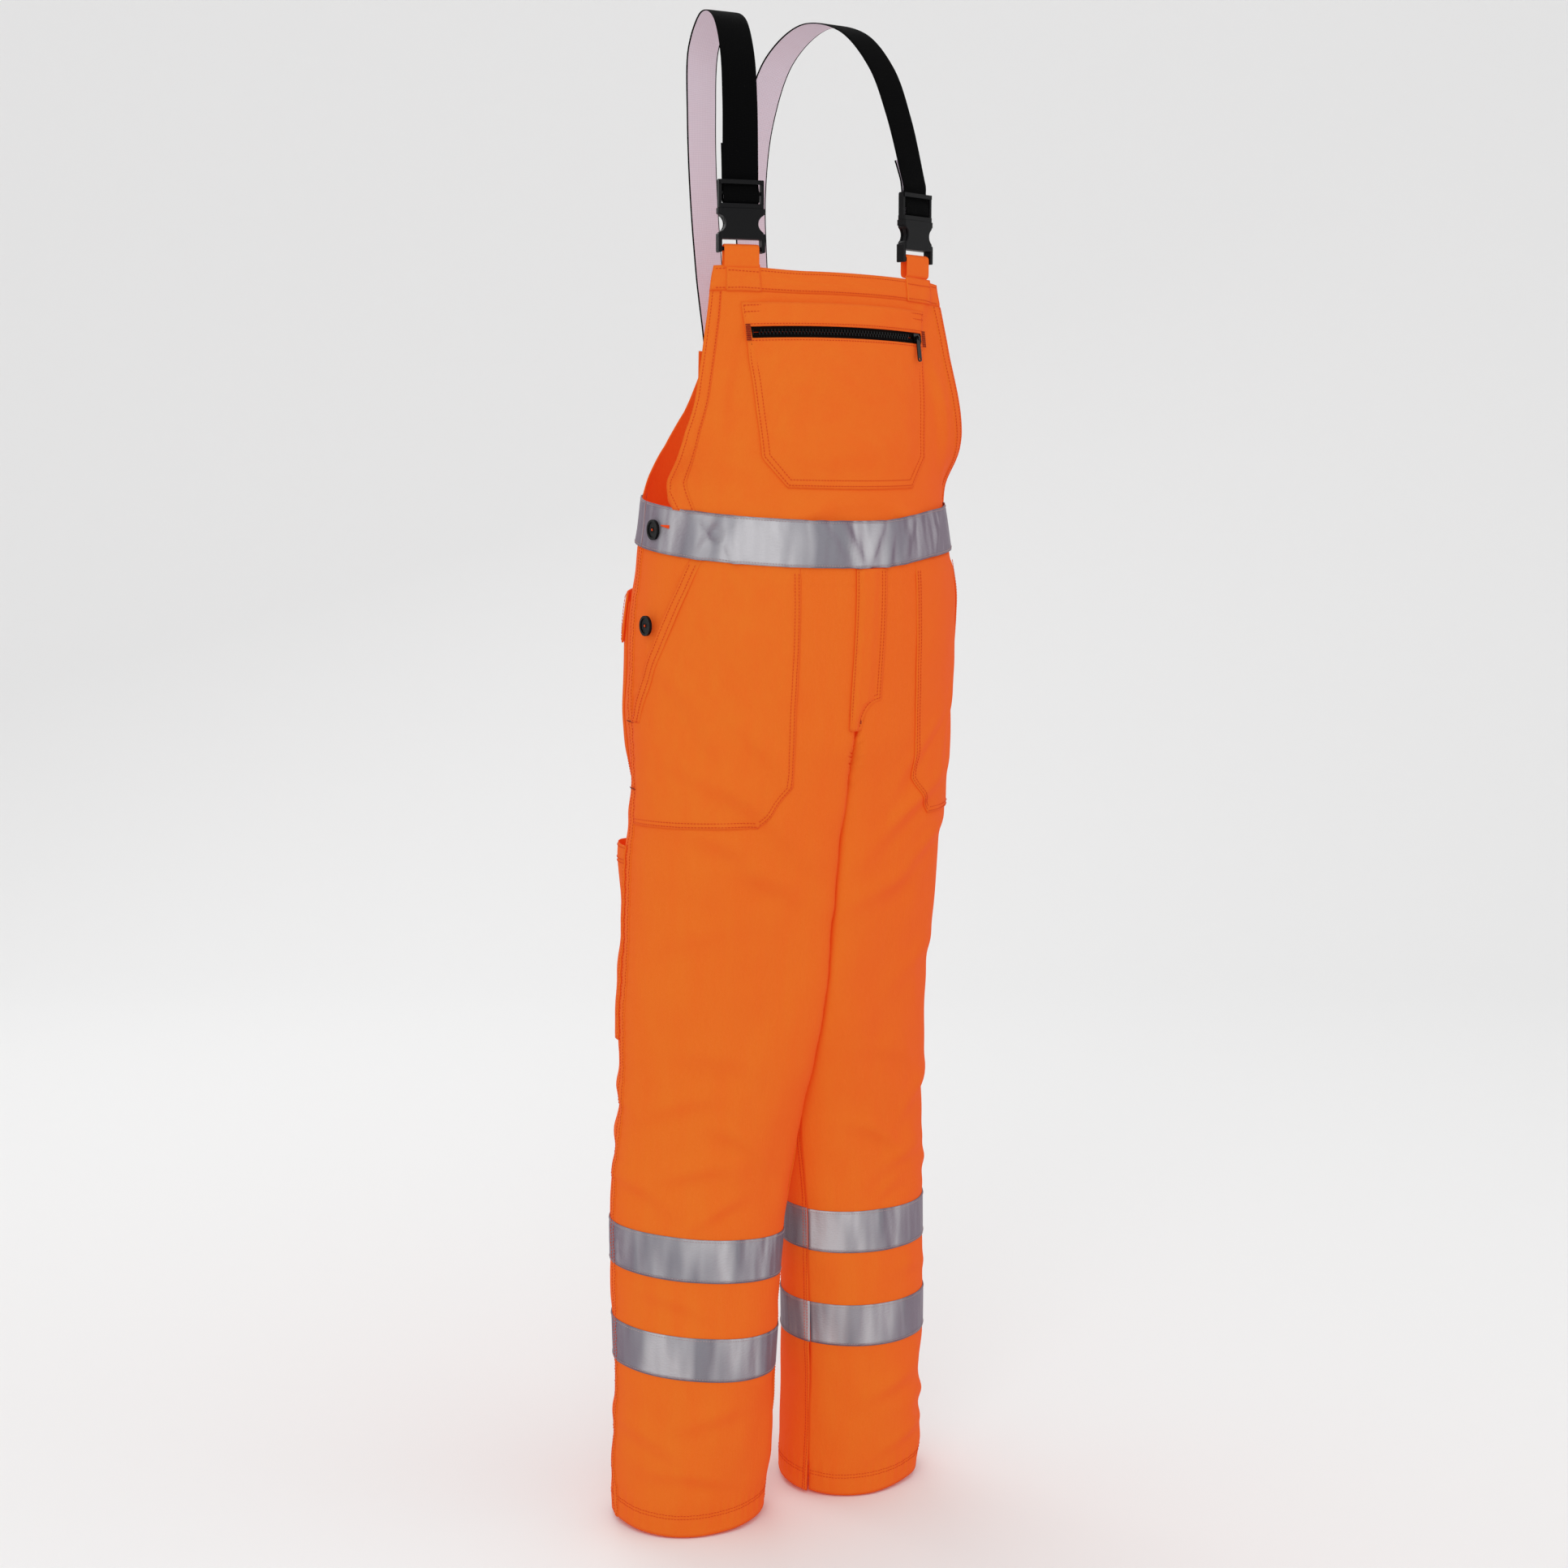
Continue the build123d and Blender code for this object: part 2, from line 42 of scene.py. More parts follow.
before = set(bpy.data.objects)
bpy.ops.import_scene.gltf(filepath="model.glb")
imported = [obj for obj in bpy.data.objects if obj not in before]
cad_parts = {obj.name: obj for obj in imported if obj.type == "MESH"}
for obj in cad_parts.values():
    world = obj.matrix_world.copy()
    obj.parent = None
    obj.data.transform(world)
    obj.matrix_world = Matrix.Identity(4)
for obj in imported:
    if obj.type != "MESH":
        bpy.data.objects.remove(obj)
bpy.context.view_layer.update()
MM = 0.001
SIDES = ("right", "left")
ROOT = "garment"


def box_mm(node):
    low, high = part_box(node)
    return np.array(low) / MM, np.array(high) / MM


BUCKLE_LOW, BUCKLE_HIGH = box_mm("left_buckle_socket")
PLUG_TOP = box_mm("left_buckle_plug")[1][2]
LEG_TAPES = {name: [corner[2] for corner in box_mm(f"left_{name}_leg_tape")] for name in ("upper", "lower")}
BUCKLE_X = (BUCKLE_LOW[0] + BUCKLE_HIGH[0]) / 2
BACK_TOP = box_mm("back_panel")[1][2]
BIB_TOP = 1420.0
WAIST = 1144.0
WAIST_TILT = 0.145
CROTCH = 850.0
LEG_TURN = 107.0  # where the wide axis of a leg section points: degrees from the front, outwards
SIDE_SEAM = 102.0
BIB_LEAN = math.radians(9.4)
ZIP_LEVEL = 1355.0
SLIT = 6.5  # half width of the fly's opening in the front panels
FLY_TOP = 1094.0
FLY_FOOT = 935.0

# level, centre out, centre back, half of the wide axis, half of the other
LEG_ROWS = [
    (0, 113, 56, 88, 82),
    (170, 112, 45, 94, 79),
    (360, 110, 41, 101, 71),
    (460, 99, 36, 108, 72),
    (640, 83, 18, 120, 78),
    (740, 80, 10, 125, 85),
    (860, 87, 0, 119, 101),
    (1200, 90, 0, 118, 110),
]
# level, centre back, half width, half depth
BODY_ROWS = [
    (700, 5, 192, 102),
    (826, 4, 198, 108),
    (900, 7, 201, 126),
    (960, 8, 202, 131),
    (1044, 5, 201, 136),
    (1100, 0, 194, 134),
    (1144, 0, 187, 132),
    (1230, 4, 173, 122),
    (1385, 14, 150, 107),
]
# level, y of the middle, arc radius
BIB_ROWS = [
    (1100, -133, 190),
    (1144, -131, 205),
    (1200, -120, 240),
    (1250, -111, 340),
    (1290, -104, 420),
    (1355, -93.24, 420),
    (1420, -82.48, 420),
    (1480, -72.55, 420),
]
BIB_EDGE = [(1100, 179), (1166, 179), (1200, 179), (1256, 177), (1355, 161), (1420, 148.5)]
BULGE = {  # how far the bib's edges hang out past the pattern, by level
    -1: [(1144, -7), (1170, 0), (1200, 6), (1235, 6), (1290, 1), (1420, -5)],
    1: [(1144, 6), (1165, 15), (1205, 18), (1240, 14), (1290, 7), (1340, 3), (1420, 5)],
}
BACK_EDGE = [(1100, 171), (1166, 166), (1190, 148), (1225, 112), (1270, 79), (1314, 57), (1345, 50)]


# ---- small maths ----
def ease(value, start, end):
    t = np.clip((np.asarray(value, float) - start) / (end - start), 0, 1)
    return t * t * (3 - 2 * t)


def softened(rows, soft=16.0, step=3.0):
    """Dense columns of a table, rounded off between its rows."""
    table = np.array(rows, float)
    levels = np.arange(table[0, 0] - 3, table[-1, 0] + 3, step)
    reach = np.arange(-3 * soft, 3 * soft + step / 2, step)
    kernel = np.exp(-0.5 * (reach / soft) ** 2)
    kernel /= kernel.sum()
    columns = []
    for column in table.T[1:]:
        dense = np.interp(levels, table[:, 0], column)
        dense = np.pad(dense, len(kernel) // 2, mode="edge")
        columns.append(np.convolve(dense, kernel, "valid")[: len(levels)])
    return levels, columns


def look_up(level, table):
    levels, columns = table
    return [np.interp(level, levels, column) for column in columns]


def at_level(rows, levels):
    return np.interp(levels, *np.array(rows, float).T)


def unit(vectors):
    return vectors / np.maximum(np.linalg.norm(vectors, axis=-1, keepdims=True), 1e-9)


def run_length(points):
    """Distance along a polyline at each of its points."""
    return np.concatenate([[0], np.cumsum(np.linalg.norm(np.diff(points, axis=0), axis=1))])


def along_line(values, lengths, where):
    return np.stack([np.interp(where, lengths, column) for column in values.T], -1)


LEG = softened(LEG_ROWS, 24.0)
BODY = softened(BODY_ROWS)
BIB = softened(BIB_ROWS, 9.0)


def tilt(level):
    return WAIST_TILT * ease(level, 900, 1100) * (1 - ease(level, 1180, 1320))


def waves(u, v, seed, count, shortest, longest):
    """Soft bumps between about -1 and 1: a sum of plane waves in random directions."""
    rng = np.random.default_rng(seed)
    total = np.zeros(np.broadcast(u, v).shape)
    for _ in range(count):
        length = rng.uniform(shortest, longest)
        heading = rng.uniform(0, math.pi)
        phase = rng.uniform(0, 2 * math.pi)
        total += np.sin((u * math.cos(heading) + v * math.sin(heading)) * 2 * math.pi / length + phase)
    return total / math.sqrt(count)


def crease(u, v, fold):
    """One fold: a ridge with a shallower valley beside it. fold: u, v, slant, length, width, height."""
    u0, v0, slant, length, width, height = fold
    c, s = math.cos(math.radians(slant)), math.sin(math.radians(slant))
    along = (u - u0) * c + (v - v0) * s
    across = -(u - u0) * s + (v - v0) * c + 0.12 * along**2 / length
    reach = np.exp(-((along / length) ** 2))
    ridge = np.exp(-((across / width) ** 2)) - 0.6 * np.exp(-(((across + 1.7 * width) / (1.2 * width)) ** 2))
    return 1.4 * height * reach * ridge


# ---- folds: u is a distance round the leg from the side seam, v the level ----
CUFF_RISE = 26.0
ARC = 1.72  # millimetres of cloth per degree round a leg, on average
RIGHT_FOLDS = [
    (-150, 842, 38, 70, 11, 3.6), (-120, 800, 30, 60, 12, 2.6),
    (-175, 760, 22, 55, 12, 2.4), (-70, 700, -16, 70, 15, 1.8),
    (-140, 560, 12, 70, 13, 2.0), (-60, 505, -20, 60, 12, 2.4),
    (-175, 470, 24, 55, 10, 2.8), (-110, 438, -12, 70, 11, 2.6),
    (-40, 410, 16, 50, 10, 2.0), (-150, 395, -24, 50, 9, 2.0),
    (-90, 285, 10, 60, 9, 1.5), (-150, 155, -14, 60, 11, 2.2),
    (-60, 120, 16, 60, 12, 2.0), (-120, 78, 6, 60, 10, 1.8),
    (70, 470, 10, 70, 12, 3.2), (110, 430, -14, 60, 11, 3.0),
    (40, 520, 18, 60, 12, 2.4), (90, 800, -34, 70, 13, 3.2),
    (130, 760, -22, 60, 12, 3.0), (80, 140, 8, 60, 11, 2.2),
    (-95, 935, 62, 70, 12, 2.0), (-160, 905, 50, 50, 9, 2.4),
    (120, 905, -55, 60, 13, 2.6),
]
LEFT_FOLDS = [
    (-160, 838, 34, 66, 11, 3.4), (-110, 790, 24, 64, 12, 2.4),
    (-185, 745, 14, 50, 12, 2.6), (-90, 655, 14, 70, 15, 2.0),
    (-150, 545, -14, 64, 13, 2.2), (-70, 498, 16, 66, 11, 2.6),
    (-185, 452, -22, 50, 10, 2.8), (-125, 425, 10, 66, 11, 2.4),
    (-50, 402, -14, 50, 10, 2.0), (-165, 388, 20, 44, 9, 1.8),
    (-100, 282, -8, 60, 9, 1.5), (-160, 148, 12, 55, 11, 2.4),
    (-70, 112, -12, 60, 12, 2.0), (-130, 70, 8, 60, 10, 1.8),
    (75, 455, -12, 70, 12, 3.2), (115, 418, 12, 60, 11, 2.8),
    (50, 508, -16, 60, 12, 2.4), (95, 790, -30, 70, 13, 3.2),
    (135, 745, -20, 60, 12, 3.0), (85, 132, -8, 60, 11, 2.2),
    (-100, 925, 66, 66, 12, 2.0), (-165, 900, 48, 50, 9, 2.4),
    (125, 900, -52, 60, 13, 2.6),
]
BIB_FOLDS = [
    (-120, 1395, -62, 60, 9, 1.5),
    (122, 1392, 60, 60, 9, 1.6),
    (-146, 1290, 80, 60, 9, 2.0),
    (148, 1280, -78, 60, 9, 2.2),
    (-60, 1180, 20, 60, 9, 1.6),
    (70, 1178, -24, 60, 9, 1.6),
    (0, 1240, 6, 80, 14, 1.2),
    (-30, 1300, -10, 80, 16, 1.0),
]
WAIST_FOLDS = [
    (-158, WAIST - 4, 58, 34, 5, 3.0),
    (-150, WAIST + 2, -58, 34, 5, 2.8),
    (-40, WAIST + 6, -56, 40, 7, 3.0),
    (-16, WAIST - 2, -62, 40, 7, 3.4),
    (14, WAIST + 2, 62, 34, 7, 3.0),
    (34, WAIST - 4, 70, 34, 7, 2.4),
    (64, WAIST + 3, 64, 30, 8, 2.0),
    (-96, WAIST, -66, 34, 9, 1.8),
    (120, WAIST, 70, 30, 7, 1.6),
]


def tape_hold(level):
    """1 on the stiff reflective bands of the legs, 0 away from them."""
    hold = 0.0
    for low, high in LEG_TAPES.values():
        middle, half = (low + high) / 2, (high - low) / 2
        hold = hold + 1 - ease(np.abs(level - middle), half - 4, half + 14)
    return hold


def seam_pucker(distance, along, seed):
    """Small puckers on both sides of a line of stitching."""
    rise = np.sin(along * 2 * math.pi / 15 + 1.3 * np.sin(along / 23.0 + seed))
    return 0.45 * rise * np.exp(-((np.abs(distance) - 7) ** 2) / 70)


def leg_folds(angle, level, side):
    u = (angle - SIDE_SEAM) * ARC
    seed = SIDES.index(side)
    total = 1.9 * waves(u, level, 11 + seed, 16, 110, 320) + 0.6 * waves(u, level, 21 + seed, 16, 38, 80)
    total *= 1 - 0.5 * ease(level, 900, 1040)
    for fold in RIGHT_FOLDS if side == "right" else LEFT_FOLDS:
        total = total + crease(u, level, fold)
    total = total * (1 - 0.55 * tape_hold(level)) * (1 - ease(level, 1080, 1120))
    total = total + seam_pucker(u, level, seed) * (1 - ease(level, 1060, 1100))
    for edge in (22, CUFF_RISE):
        total = total + 0.7 * seam_pucker(level - edge, u * 1.1, seed + 3)
    return total


THIGH_FULL = 17.0  # how far the thigh fills out towards the front and the inside
WALL_POWER = 40  # how sharply a leg turns in at the middle plane


# ---- surfaces: trousers are polar about the leg's axis, and open out into half of the body ----
# the leg bands slope: towards the front and inside on the right leg, the front and outside on the left
HANG_TURN = {"right": 33.8, "left": 146.2}
HANG_SLOPE = {"right": 0.12, "left": 0.07}
HANG_DROP = 7.0
HEM_RISE = 7.0


def leg_radius(angle, level):
    cx, cy, wide, deep = look_up(level, LEG)
    back, half_w, half_d = look_up(level, BODY)
    a = np.radians(angle)
    turn = np.radians(angle - LEG_TURN)
    sx, sy = -np.sin(a), -np.cos(a)
    leg = 1 / np.hypot(np.cos(turn) / wide, np.sin(turn) / deep)
    thigh = ease(level, 470, 620) * (1 - ease(level, 830, 905))
    leg = leg + THIGH_FULL * np.exp(-(((angle + 48) / 26) ** 2)) * thigh
    dx, dy, ox, oy = sx / half_w, sy / half_d, -cx / half_w, (cy - back) / half_d
    q, b, c = dx * dx + dy * dy, ox * dx + oy * dy, ox * ox + oy * oy - 1
    body = (-b + np.sqrt(np.maximum(0.0, b * b - q * c))) / q
    radius = leg + (body - leg) * ease(level, 790, 915)
    wall = np.where(sx > 0.05, (cx - 0.6) / np.maximum(sx, 0.05), 1e4)
    return (radius**-WALL_POWER + wall**-WALL_POWER) ** (-1 / WALL_POWER)


def leg_base(angle, level, side):
    """Right-hand surface with the folds of a side."""
    cx, cy = look_up(level, LEG)[:2]
    middle = np.exp(-((np.abs(angle - 90) - 150) ** 2) / 3000) * ease(level, 850, 900)
    radius = leg_radius(angle, level) + leg_folds(angle, level, side) * (1 - 0.9 * middle)
    a = np.radians(angle)
    x = np.minimum(-cx - radius * np.sin(a), -0.5)
    y = cy - radius * np.cos(a)
    turn = math.radians(HANG_TURN[side])
    across = (x + cx) * math.cos(turn) - (y - cy) * math.sin(turn)
    hang = -(HANG_SLOPE[side] * across + HANG_DROP) * ease(level, 10, 150) * (1 - ease(level, 380, 640))
    rise = HEM_RISE * (across / 90) ** 2 * (1 - ease(level, 0, 140))
    return np.stack([x, y, level + hang + rise + tilt(level) * y], -1)


def waist_base(angle, level, side="right"):
    back, half_w, half_d = look_up(level, BODY)
    a = np.radians(angle)
    u = -half_w * np.sin(a)
    bump = sum(crease(u, level, fold) for fold in WAIST_FOLDS) * (np.cos(a) > 0)
    bump = bump + 0.7 * waves(angle * 2.8, level, 31, 14, 40, 120) * (1 - 0.4 * (np.cos(a) > 0))
    bump = 0.5 * (bump + np.sqrt(bump**2 + 1.0))
    bump = bump + (1 - ease(np.cos(a), -0.75, -0.2)) * 1.8 * np.sin(angle * 2 * math.pi / 5.5)  # the elastic
    x = -(half_w + bump) * np.sin(a)
    y = back - (half_d + bump) * np.cos(a)
    rise = 3 + 7 * ease(x, 20, 120) * ease(np.cos(a), 0.05, 0.4)
    return np.stack([x, y, level + rise + tilt(level) * y], -1)


def middle_angle(level, gap, way):
    """Angle from the front (way 1) or the back (way -1) where the cloth is a gap from the middle plane."""
    cx, cy = look_up(level, LEG)[:2]
    back, _, half_d = look_up(level, BODY)
    return np.degrees(np.arctan2(cx - gap, half_d + way * (cy - back)))


def inner_edge(level, foot, top, middle):
    """Angle of the inseam up to the crotch, and of the middle seam above it."""
    inseam = foot + (top - foot) * ease(level, 450, CROTCH)
    return inseam + (middle - inseam) * ease(level, CROTCH, 925)


def front_edge(level):
    return inner_edge(level, -67.0, -88.0, -middle_angle(level, 0.6, 1))


def back_edge(level):
    return inner_edge(level, 293.0, 272.0, 180 + middle_angle(level, 0.6, -1))


def body_y(x, level, way, spare=2.0):
    """y of the body's oval at its front (way -1) or its back (way 1)."""
    back, half_w, half_d = look_up(level, BODY)
    return back + way * half_d * np.sqrt(np.maximum(0.02, 1 - (x / (half_w + spare)) ** 2))


def bib_base(x, level, side="right"):
    front, radius = look_up(level, BIB)
    raised = 7.0 * ease(-x, 40, 150) * ease(level, 1370, 1415)
    edge = ease(np.abs(x), 118, 150)
    x = x + np.where(x < 0, -at_level(BULGE[-1], level), at_level(BULGE[1], level)) * edge
    sag = radius - np.sqrt(radius**2 - x**2)
    lean = ease(level, 1230, 1290)
    arc = front + sag * (1 - lean * (1 - math.cos(BIB_LEAN)))
    oval = body_y(x, level, -1)
    y = oval + (arc - oval) * ease(level, WAIST, 1240)
    bump = sum(crease(x, level, fold) for fold in BIB_FOLDS) + 0.9 * waves(x, level, 41, 16, 60, 180)
    near_zip = np.exp(-(((level - ZIP_LEVEL) / 24) ** 4)) * (1 - ease(np.abs(x), 116, 135))
    y = y - bump * (1 - near_zip) * ease(level, WAIST, WAIST + 20)
    return np.stack([x, y, level + raised + tilt(level) * y - lean * sag * math.sin(BIB_LEAN)], -1)


def back_base(x, level, side="right"):
    bump = 1.2 * waves(x, level, 51, 16, 50, 170) * (1 - ease(level, 1280, 1300))
    y = body_y(x, level, 1) + bump * ease(level, WAIST, WAIST + 20)
    return np.stack([x, y, level + tilt(level) * y], -1)


def fly_surface(x, level, side="right"):
    """Smooth front of the body near the middle, without the folds."""
    y = body_y(x, level, -1, 0.0)
    return np.stack([x, y, level + tilt(level) * y], -1)


OUTWARD = {leg_base: -1, waist_base: -1, bib_base: 1, back_base: -1, fly_surface: 1}


def placed(part, side):
    """Points or directions worked out on the right, on their own side."""
    return part * (-1 if side == "left" else 1, 1, 1)


def lifted(surface, u, v, lift, side="right"):
    """Points a lift outside a surface."""
    u, v, lift = np.broadcast_arrays(*(np.asarray(value, float) for value in (u, v, lift)))
    step = 0.6
    base = surface(u, v, side)
    du = surface(u + step, v, side) - base
    dv = surface(u, v + step, side) - base
    normal = unit(np.cross(du, dv) * OUTWARD[surface])
    return base + normal * lift[..., None], normal


# ---- materials ----
def srgb(r, g, b):
    """Linear colour of an sRGB value from 0 to 255."""
    shares = [value / 255 for value in (r, g, b)]
    return (*(c / 12.92 if c <= 0.04045 else ((c + 0.055) / 1.055) ** 2.4 for c in shares), 1.0)


PAINTED_RED_GLOW = (1.0, 0.055, 0.006, 1.0)  # painted red glow standing in for the dye's fluorescence: it lifts the shaded cloth towards red
LIT_SIDE = (-0.62, -0.74, 0.26)  # towards the key lamp


class Nodes:
    """Short way to build a node tree."""

    def __init__(self, name):
        self.material = bpy.data.materials.new(name)
        self.material.use_nodes = True
        self.tree = self.material.node_tree
        self.shader = self.tree.nodes["Principled BSDF"]

    def add(self, kind, inputs=None, **settings):
        node = self.tree.nodes.new(kind)
        for key, value in settings.items():
            setattr(node, key, value)
        for key, value in (inputs or {}).items():
            if value is not None:
                self.put(node, key, value)
        return node

    def put(self, node, key, value):
        if isinstance(value, bpy.types.NodeSocket):
            self.tree.links.new(value, node.inputs[key])
        else:
            node.inputs[key].default_value = value

    def set(self, **values):
        for key, value in values.items():
            self.put(self.shader, key.replace("_", " "), value)

    def math(self, operation, a, b=0.0):
        return self.add("ShaderNodeMath", {0: a, 1: b}, operation=operation).outputs[0]

    def mix(self, factor, a, b):
        node = self.add("ShaderNodeMix", {0: factor}, data_type="RGBA")
        self.put(node, 6, a)
        self.put(node, 7, b)
        return node.outputs[2]

    def noise(self, scale, detail=3.0, vector=None):
        inputs = {"Scale": scale, "Detail": detail, "Vector": vector}
        return self.add("ShaderNodeTexNoise", inputs).outputs["Fac"]

    def ramp(self, value, low, high):
        return self.add("ShaderNodeMapRange", {0: value, 1: low, 2: high, 3: 0.0, 4: 1.0}).outputs[0]

    def bump(self, height, distance, strength=1.0, normal=None):
        inputs = {"Height": height, "Distance": distance, "Strength": strength, "Normal": normal}
        return self.add("ShaderNodeBump", inputs).outputs[0]

    def cloth_axes(self):
        uv = self.add("ShaderNodeUVMap", uv_map="cloth").outputs[0]
        split = self.add("ShaderNodeSeparateXYZ", {0: uv})
        return uv, split.outputs[0], split.outputs[1]

    def lines(self, value, pitch):
        """Raised lines across a coordinate in metres."""
        turn = self.math("MULTIPLY", value, 2 * math.pi / (pitch * MM))
        return self.math("MULTIPLY_ADD", self.math("SINE", turn), 0.5)


def twill(name, colour, deep, sheen=0.08, pitch=1.1, rough=0.88, painted_glow=0.0):
    """Woven cloth: fine slanted ribs, slight unevenness of dye, painted shade (a deeper colour where the
    cloth turns away from the key lamp) and a painted red glow.
    """
    n = Nodes(name)
    uv, u, v = n.cloth_axes()
    slant = n.math("ADD", u, n.math("MULTIPLY", v, 0.6))
    ribs = n.lines(slant, pitch)
    threads = n.lines(v, pitch * 0.6)
    weave = n.math("ADD", ribs, n.math("MULTIPLY", threads, 0.35))
    cloud = n.ramp(n.noise(9.0, 4.0), 0.35, 0.7)
    fibre = n.noise(900.0, 2.0)
    soft = n.bump(n.noise(70.0, 5.0), 0.0009, 0.35)
    # painted shade: the cloth takes its deeper colour where its normal turns away from the key lamp
    light = n.add("ShaderNodeVectorMath", {0: soft, 1: LIT_SIDE}, operation="DOT_PRODUCT").outputs["Value"]
    turned = n.ramp(light, 0.98, 0.1)
    base = n.mix(turned, colour, deep)
    base = n.mix(n.math("MULTIPLY", cloud, 0.25), base, deep)
    base = n.mix(n.math("MULTIPLY", n.ramp(fibre, 0.4, 0.75), 0.06), base, srgb(255, 190, 140))
    n.set(Base_Color=base, Roughness=rough, Sheen_Weight=sheen, Sheen_Roughness=0.5)
    n.set(Sheen_Tint=srgb(255, 150, 80), Specular_IOR_Level=0.12)
    # painted red glow: the cloth gives off red light of its own, which lifts its shade
    n.set(Emission_Color=PAINTED_RED_GLOW, Emission_Strength=painted_glow)
    n.set(Normal=n.bump(weave, 0.00018, 0.5, soft))
    return n.material


def reflective(name):
    """Retroreflective band: grey beads on cloth. Its colour carries painted shade and reflection: dark
    streaks along the crumples, and a brighter grey where the bumped surface faces the viewer, darker and
    pinker where it turns away.
    """
    n = Nodes(name)
    uv, u, v = n.cloth_axes()
    beads = n.noise(2600.0, 1.0)
    slanted = n.add("ShaderNodeMapping", {"Vector": uv, "Rotation": (0, 0, 0.8), "Scale": (24, 5, 1)})
    crumple = n.noise(1.0, 2.0, slanted.outputs[0])
    fine = n.noise(45.0, 4.0)
    rough = n.bump(fine, 0.001, 0.35, n.bump(crumple, 0.02, 0.7))
    facing = n.add("ShaderNodeLayerWeight", {"Blend": 0.5, "Normal": rough}).outputs["Facing"]
    # painted shade: the crumples are drawn as dark and light streaks in the colour
    colour = n.mix(n.ramp(crumple, 0.42, 0.62), srgb(188, 186, 190), srgb(132, 130, 138))
    # painted reflection and shade: a darker, pinker grey where the bumped surface turns away from the viewer
    colour = n.mix(n.ramp(facing, 0.05, 0.6), colour, srgb(120, 106, 120))
    n.set(Base_Color=colour, Metallic=0.25, Specular_IOR_Level=0.3)
    n.put(n.shader, "Roughness", n.add("ShaderNodeMapRange", {0: beads, 3: 0.42, 4: 0.58}).outputs[0])
    n.set(Normal=n.bump(beads, 0.00012, 0.4, rough))
    return n.material


def ribbed(name, colour, deep, pitch=1.6, rough=0.85):
    """Woven elastic: ribs across the band and fine cords along it; painted shade makes the grooves between
    them darker.
    """
    n = Nodes(name)
    uv, u, v = n.cloth_axes()
    across = n.lines(v, pitch)
    along = n.lines(u, 2.2)
    height = n.math("ADD", across, n.math("MULTIPLY", along, 0.7))
    # painted shade: the low parts of the ribs take the darker colour
    n.set(Base_Color=n.mix(n.ramp(height, 0.2, 1.6), deep, colour), Roughness=rough)
    n.set(Specular_IOR_Level=0.05, Normal=n.bump(height, 0.0002, 0.4))
    return n.material


def moulded(name, colour, rough, grain):
    """Moulded plastic with a fine spark-eroded grain."""
    n = Nodes(name)
    fine = n.noise(1800.0, 2.0)
    broad = n.noise(60.0, 3.0)
    low = n.add("ShaderNodeMapRange", {0: broad, 3: rough - 0.08, 4: rough + 0.1}).outputs[0]
    n.set(Base_Color=colour, Roughness=low, Specular_IOR_Level=0.16, Normal=n.bump(fine, grain, 0.4))
    return n.material


def enamelled(name, colour):
    n = Nodes(name)
    wear = n.ramp(n.noise(420.0, 5.0), 0.62, 0.75)
    n.set(Base_Color=n.mix(wear, colour, srgb(70, 68, 66)), Metallic=0.7, Roughness=0.38, Coat_Weight=0.3)
    n.set(Normal=n.bump(n.noise(900.0), 0.00006, 0.3))
    return n.material


def fleece(name, colour, deep, pitch):
    """Quilted or brushed inner cloth."""
    n = Nodes(name)
    uv, u, v = n.cloth_axes()
    quilt = n.math("MULTIPLY", n.lines(n.math("ADD", u, v), pitch), n.lines(n.math("SUBTRACT", u, v), pitch))
    fuzz = n.noise(500.0, 6.0)
    n.set(Base_Color=n.mix(n.ramp(fuzz, 0.3, 0.7), deep, colour), Roughness=0.95, Sheen_Weight=0.4)
    n.set(Normal=n.bump(fuzz, 0.0006, 0.5, n.bump(quilt, 0.0025, 0.5)))
    return n.material


# the second colour of each twill is its painted shade colour, and also the tone of its uneven dye
ORANGE = twill("orange_twill", srgb(176, 104, 24), srgb(180, 78, 16), painted_glow=0.34)
ORANGE_INNER = twill("orange_twill_inside", srgb(176, 70, 16), srgb(176, 58, 10), 0.05, 1.3, 0.9, 0.34)
TAPE = reflective("silver_reflective_tape")
ELASTIC = ribbed("black_elastic", srgb(5, 5, 6), srgb(2, 2, 2))
ELASTIC_INNER = ribbed("pale_elastic_inside", srgb(222, 212, 222), srgb(204, 192, 204))
THREAD = twill("orange_thread", srgb(176, 62, 16), srgb(160, 50, 12), 0.1, 0.5, painted_glow=0.2)
BRIGHT_THREAD = twill("bright_orange_thread", srgb(200, 72, 16), srgb(190, 60, 12), 0.1, 0.5, painted_glow=0.3)
TAPE_THREAD = twill("grey_thread", srgb(176, 160, 166), srgb(150, 134, 140), 0.3, 0.5)
DARK_THREAD = twill("red_brown_thread", srgb(150, 34, 18), srgb(110, 24, 12), 0.3, 0.5)
PLASTIC = moulded("black_satin_plastic", srgb(7, 7, 9), 0.5, 0.00008)
TOOTH = moulded("black_zip_plastic", srgb(8, 8, 9), 0.4, 0.00004)
BUTTON = moulded("black_button_plastic", srgb(6, 6, 7), 0.42, 0.00003)
ENAMEL = enamelled("black_enamel", srgb(8, 8, 9))
ZIP_CLOTH = ribbed("zip_tape_cloth", srgb(16, 9, 8), srgb(6, 4, 4), 0.9)
FIBRE = fleece("cut_fibre", srgb(238, 232, 214), srgb(206, 198, 176), 60)
LINING = fleece("pad_lining_cloth", srgb(226, 86, 34), srgb(196, 66, 22), 45)


# ---- meshes ----
def in_scene(name, data):
    obj = bpy.data.objects.new(name, data)
    bpy.context.scene.collection.objects.link(obj)
    return obj


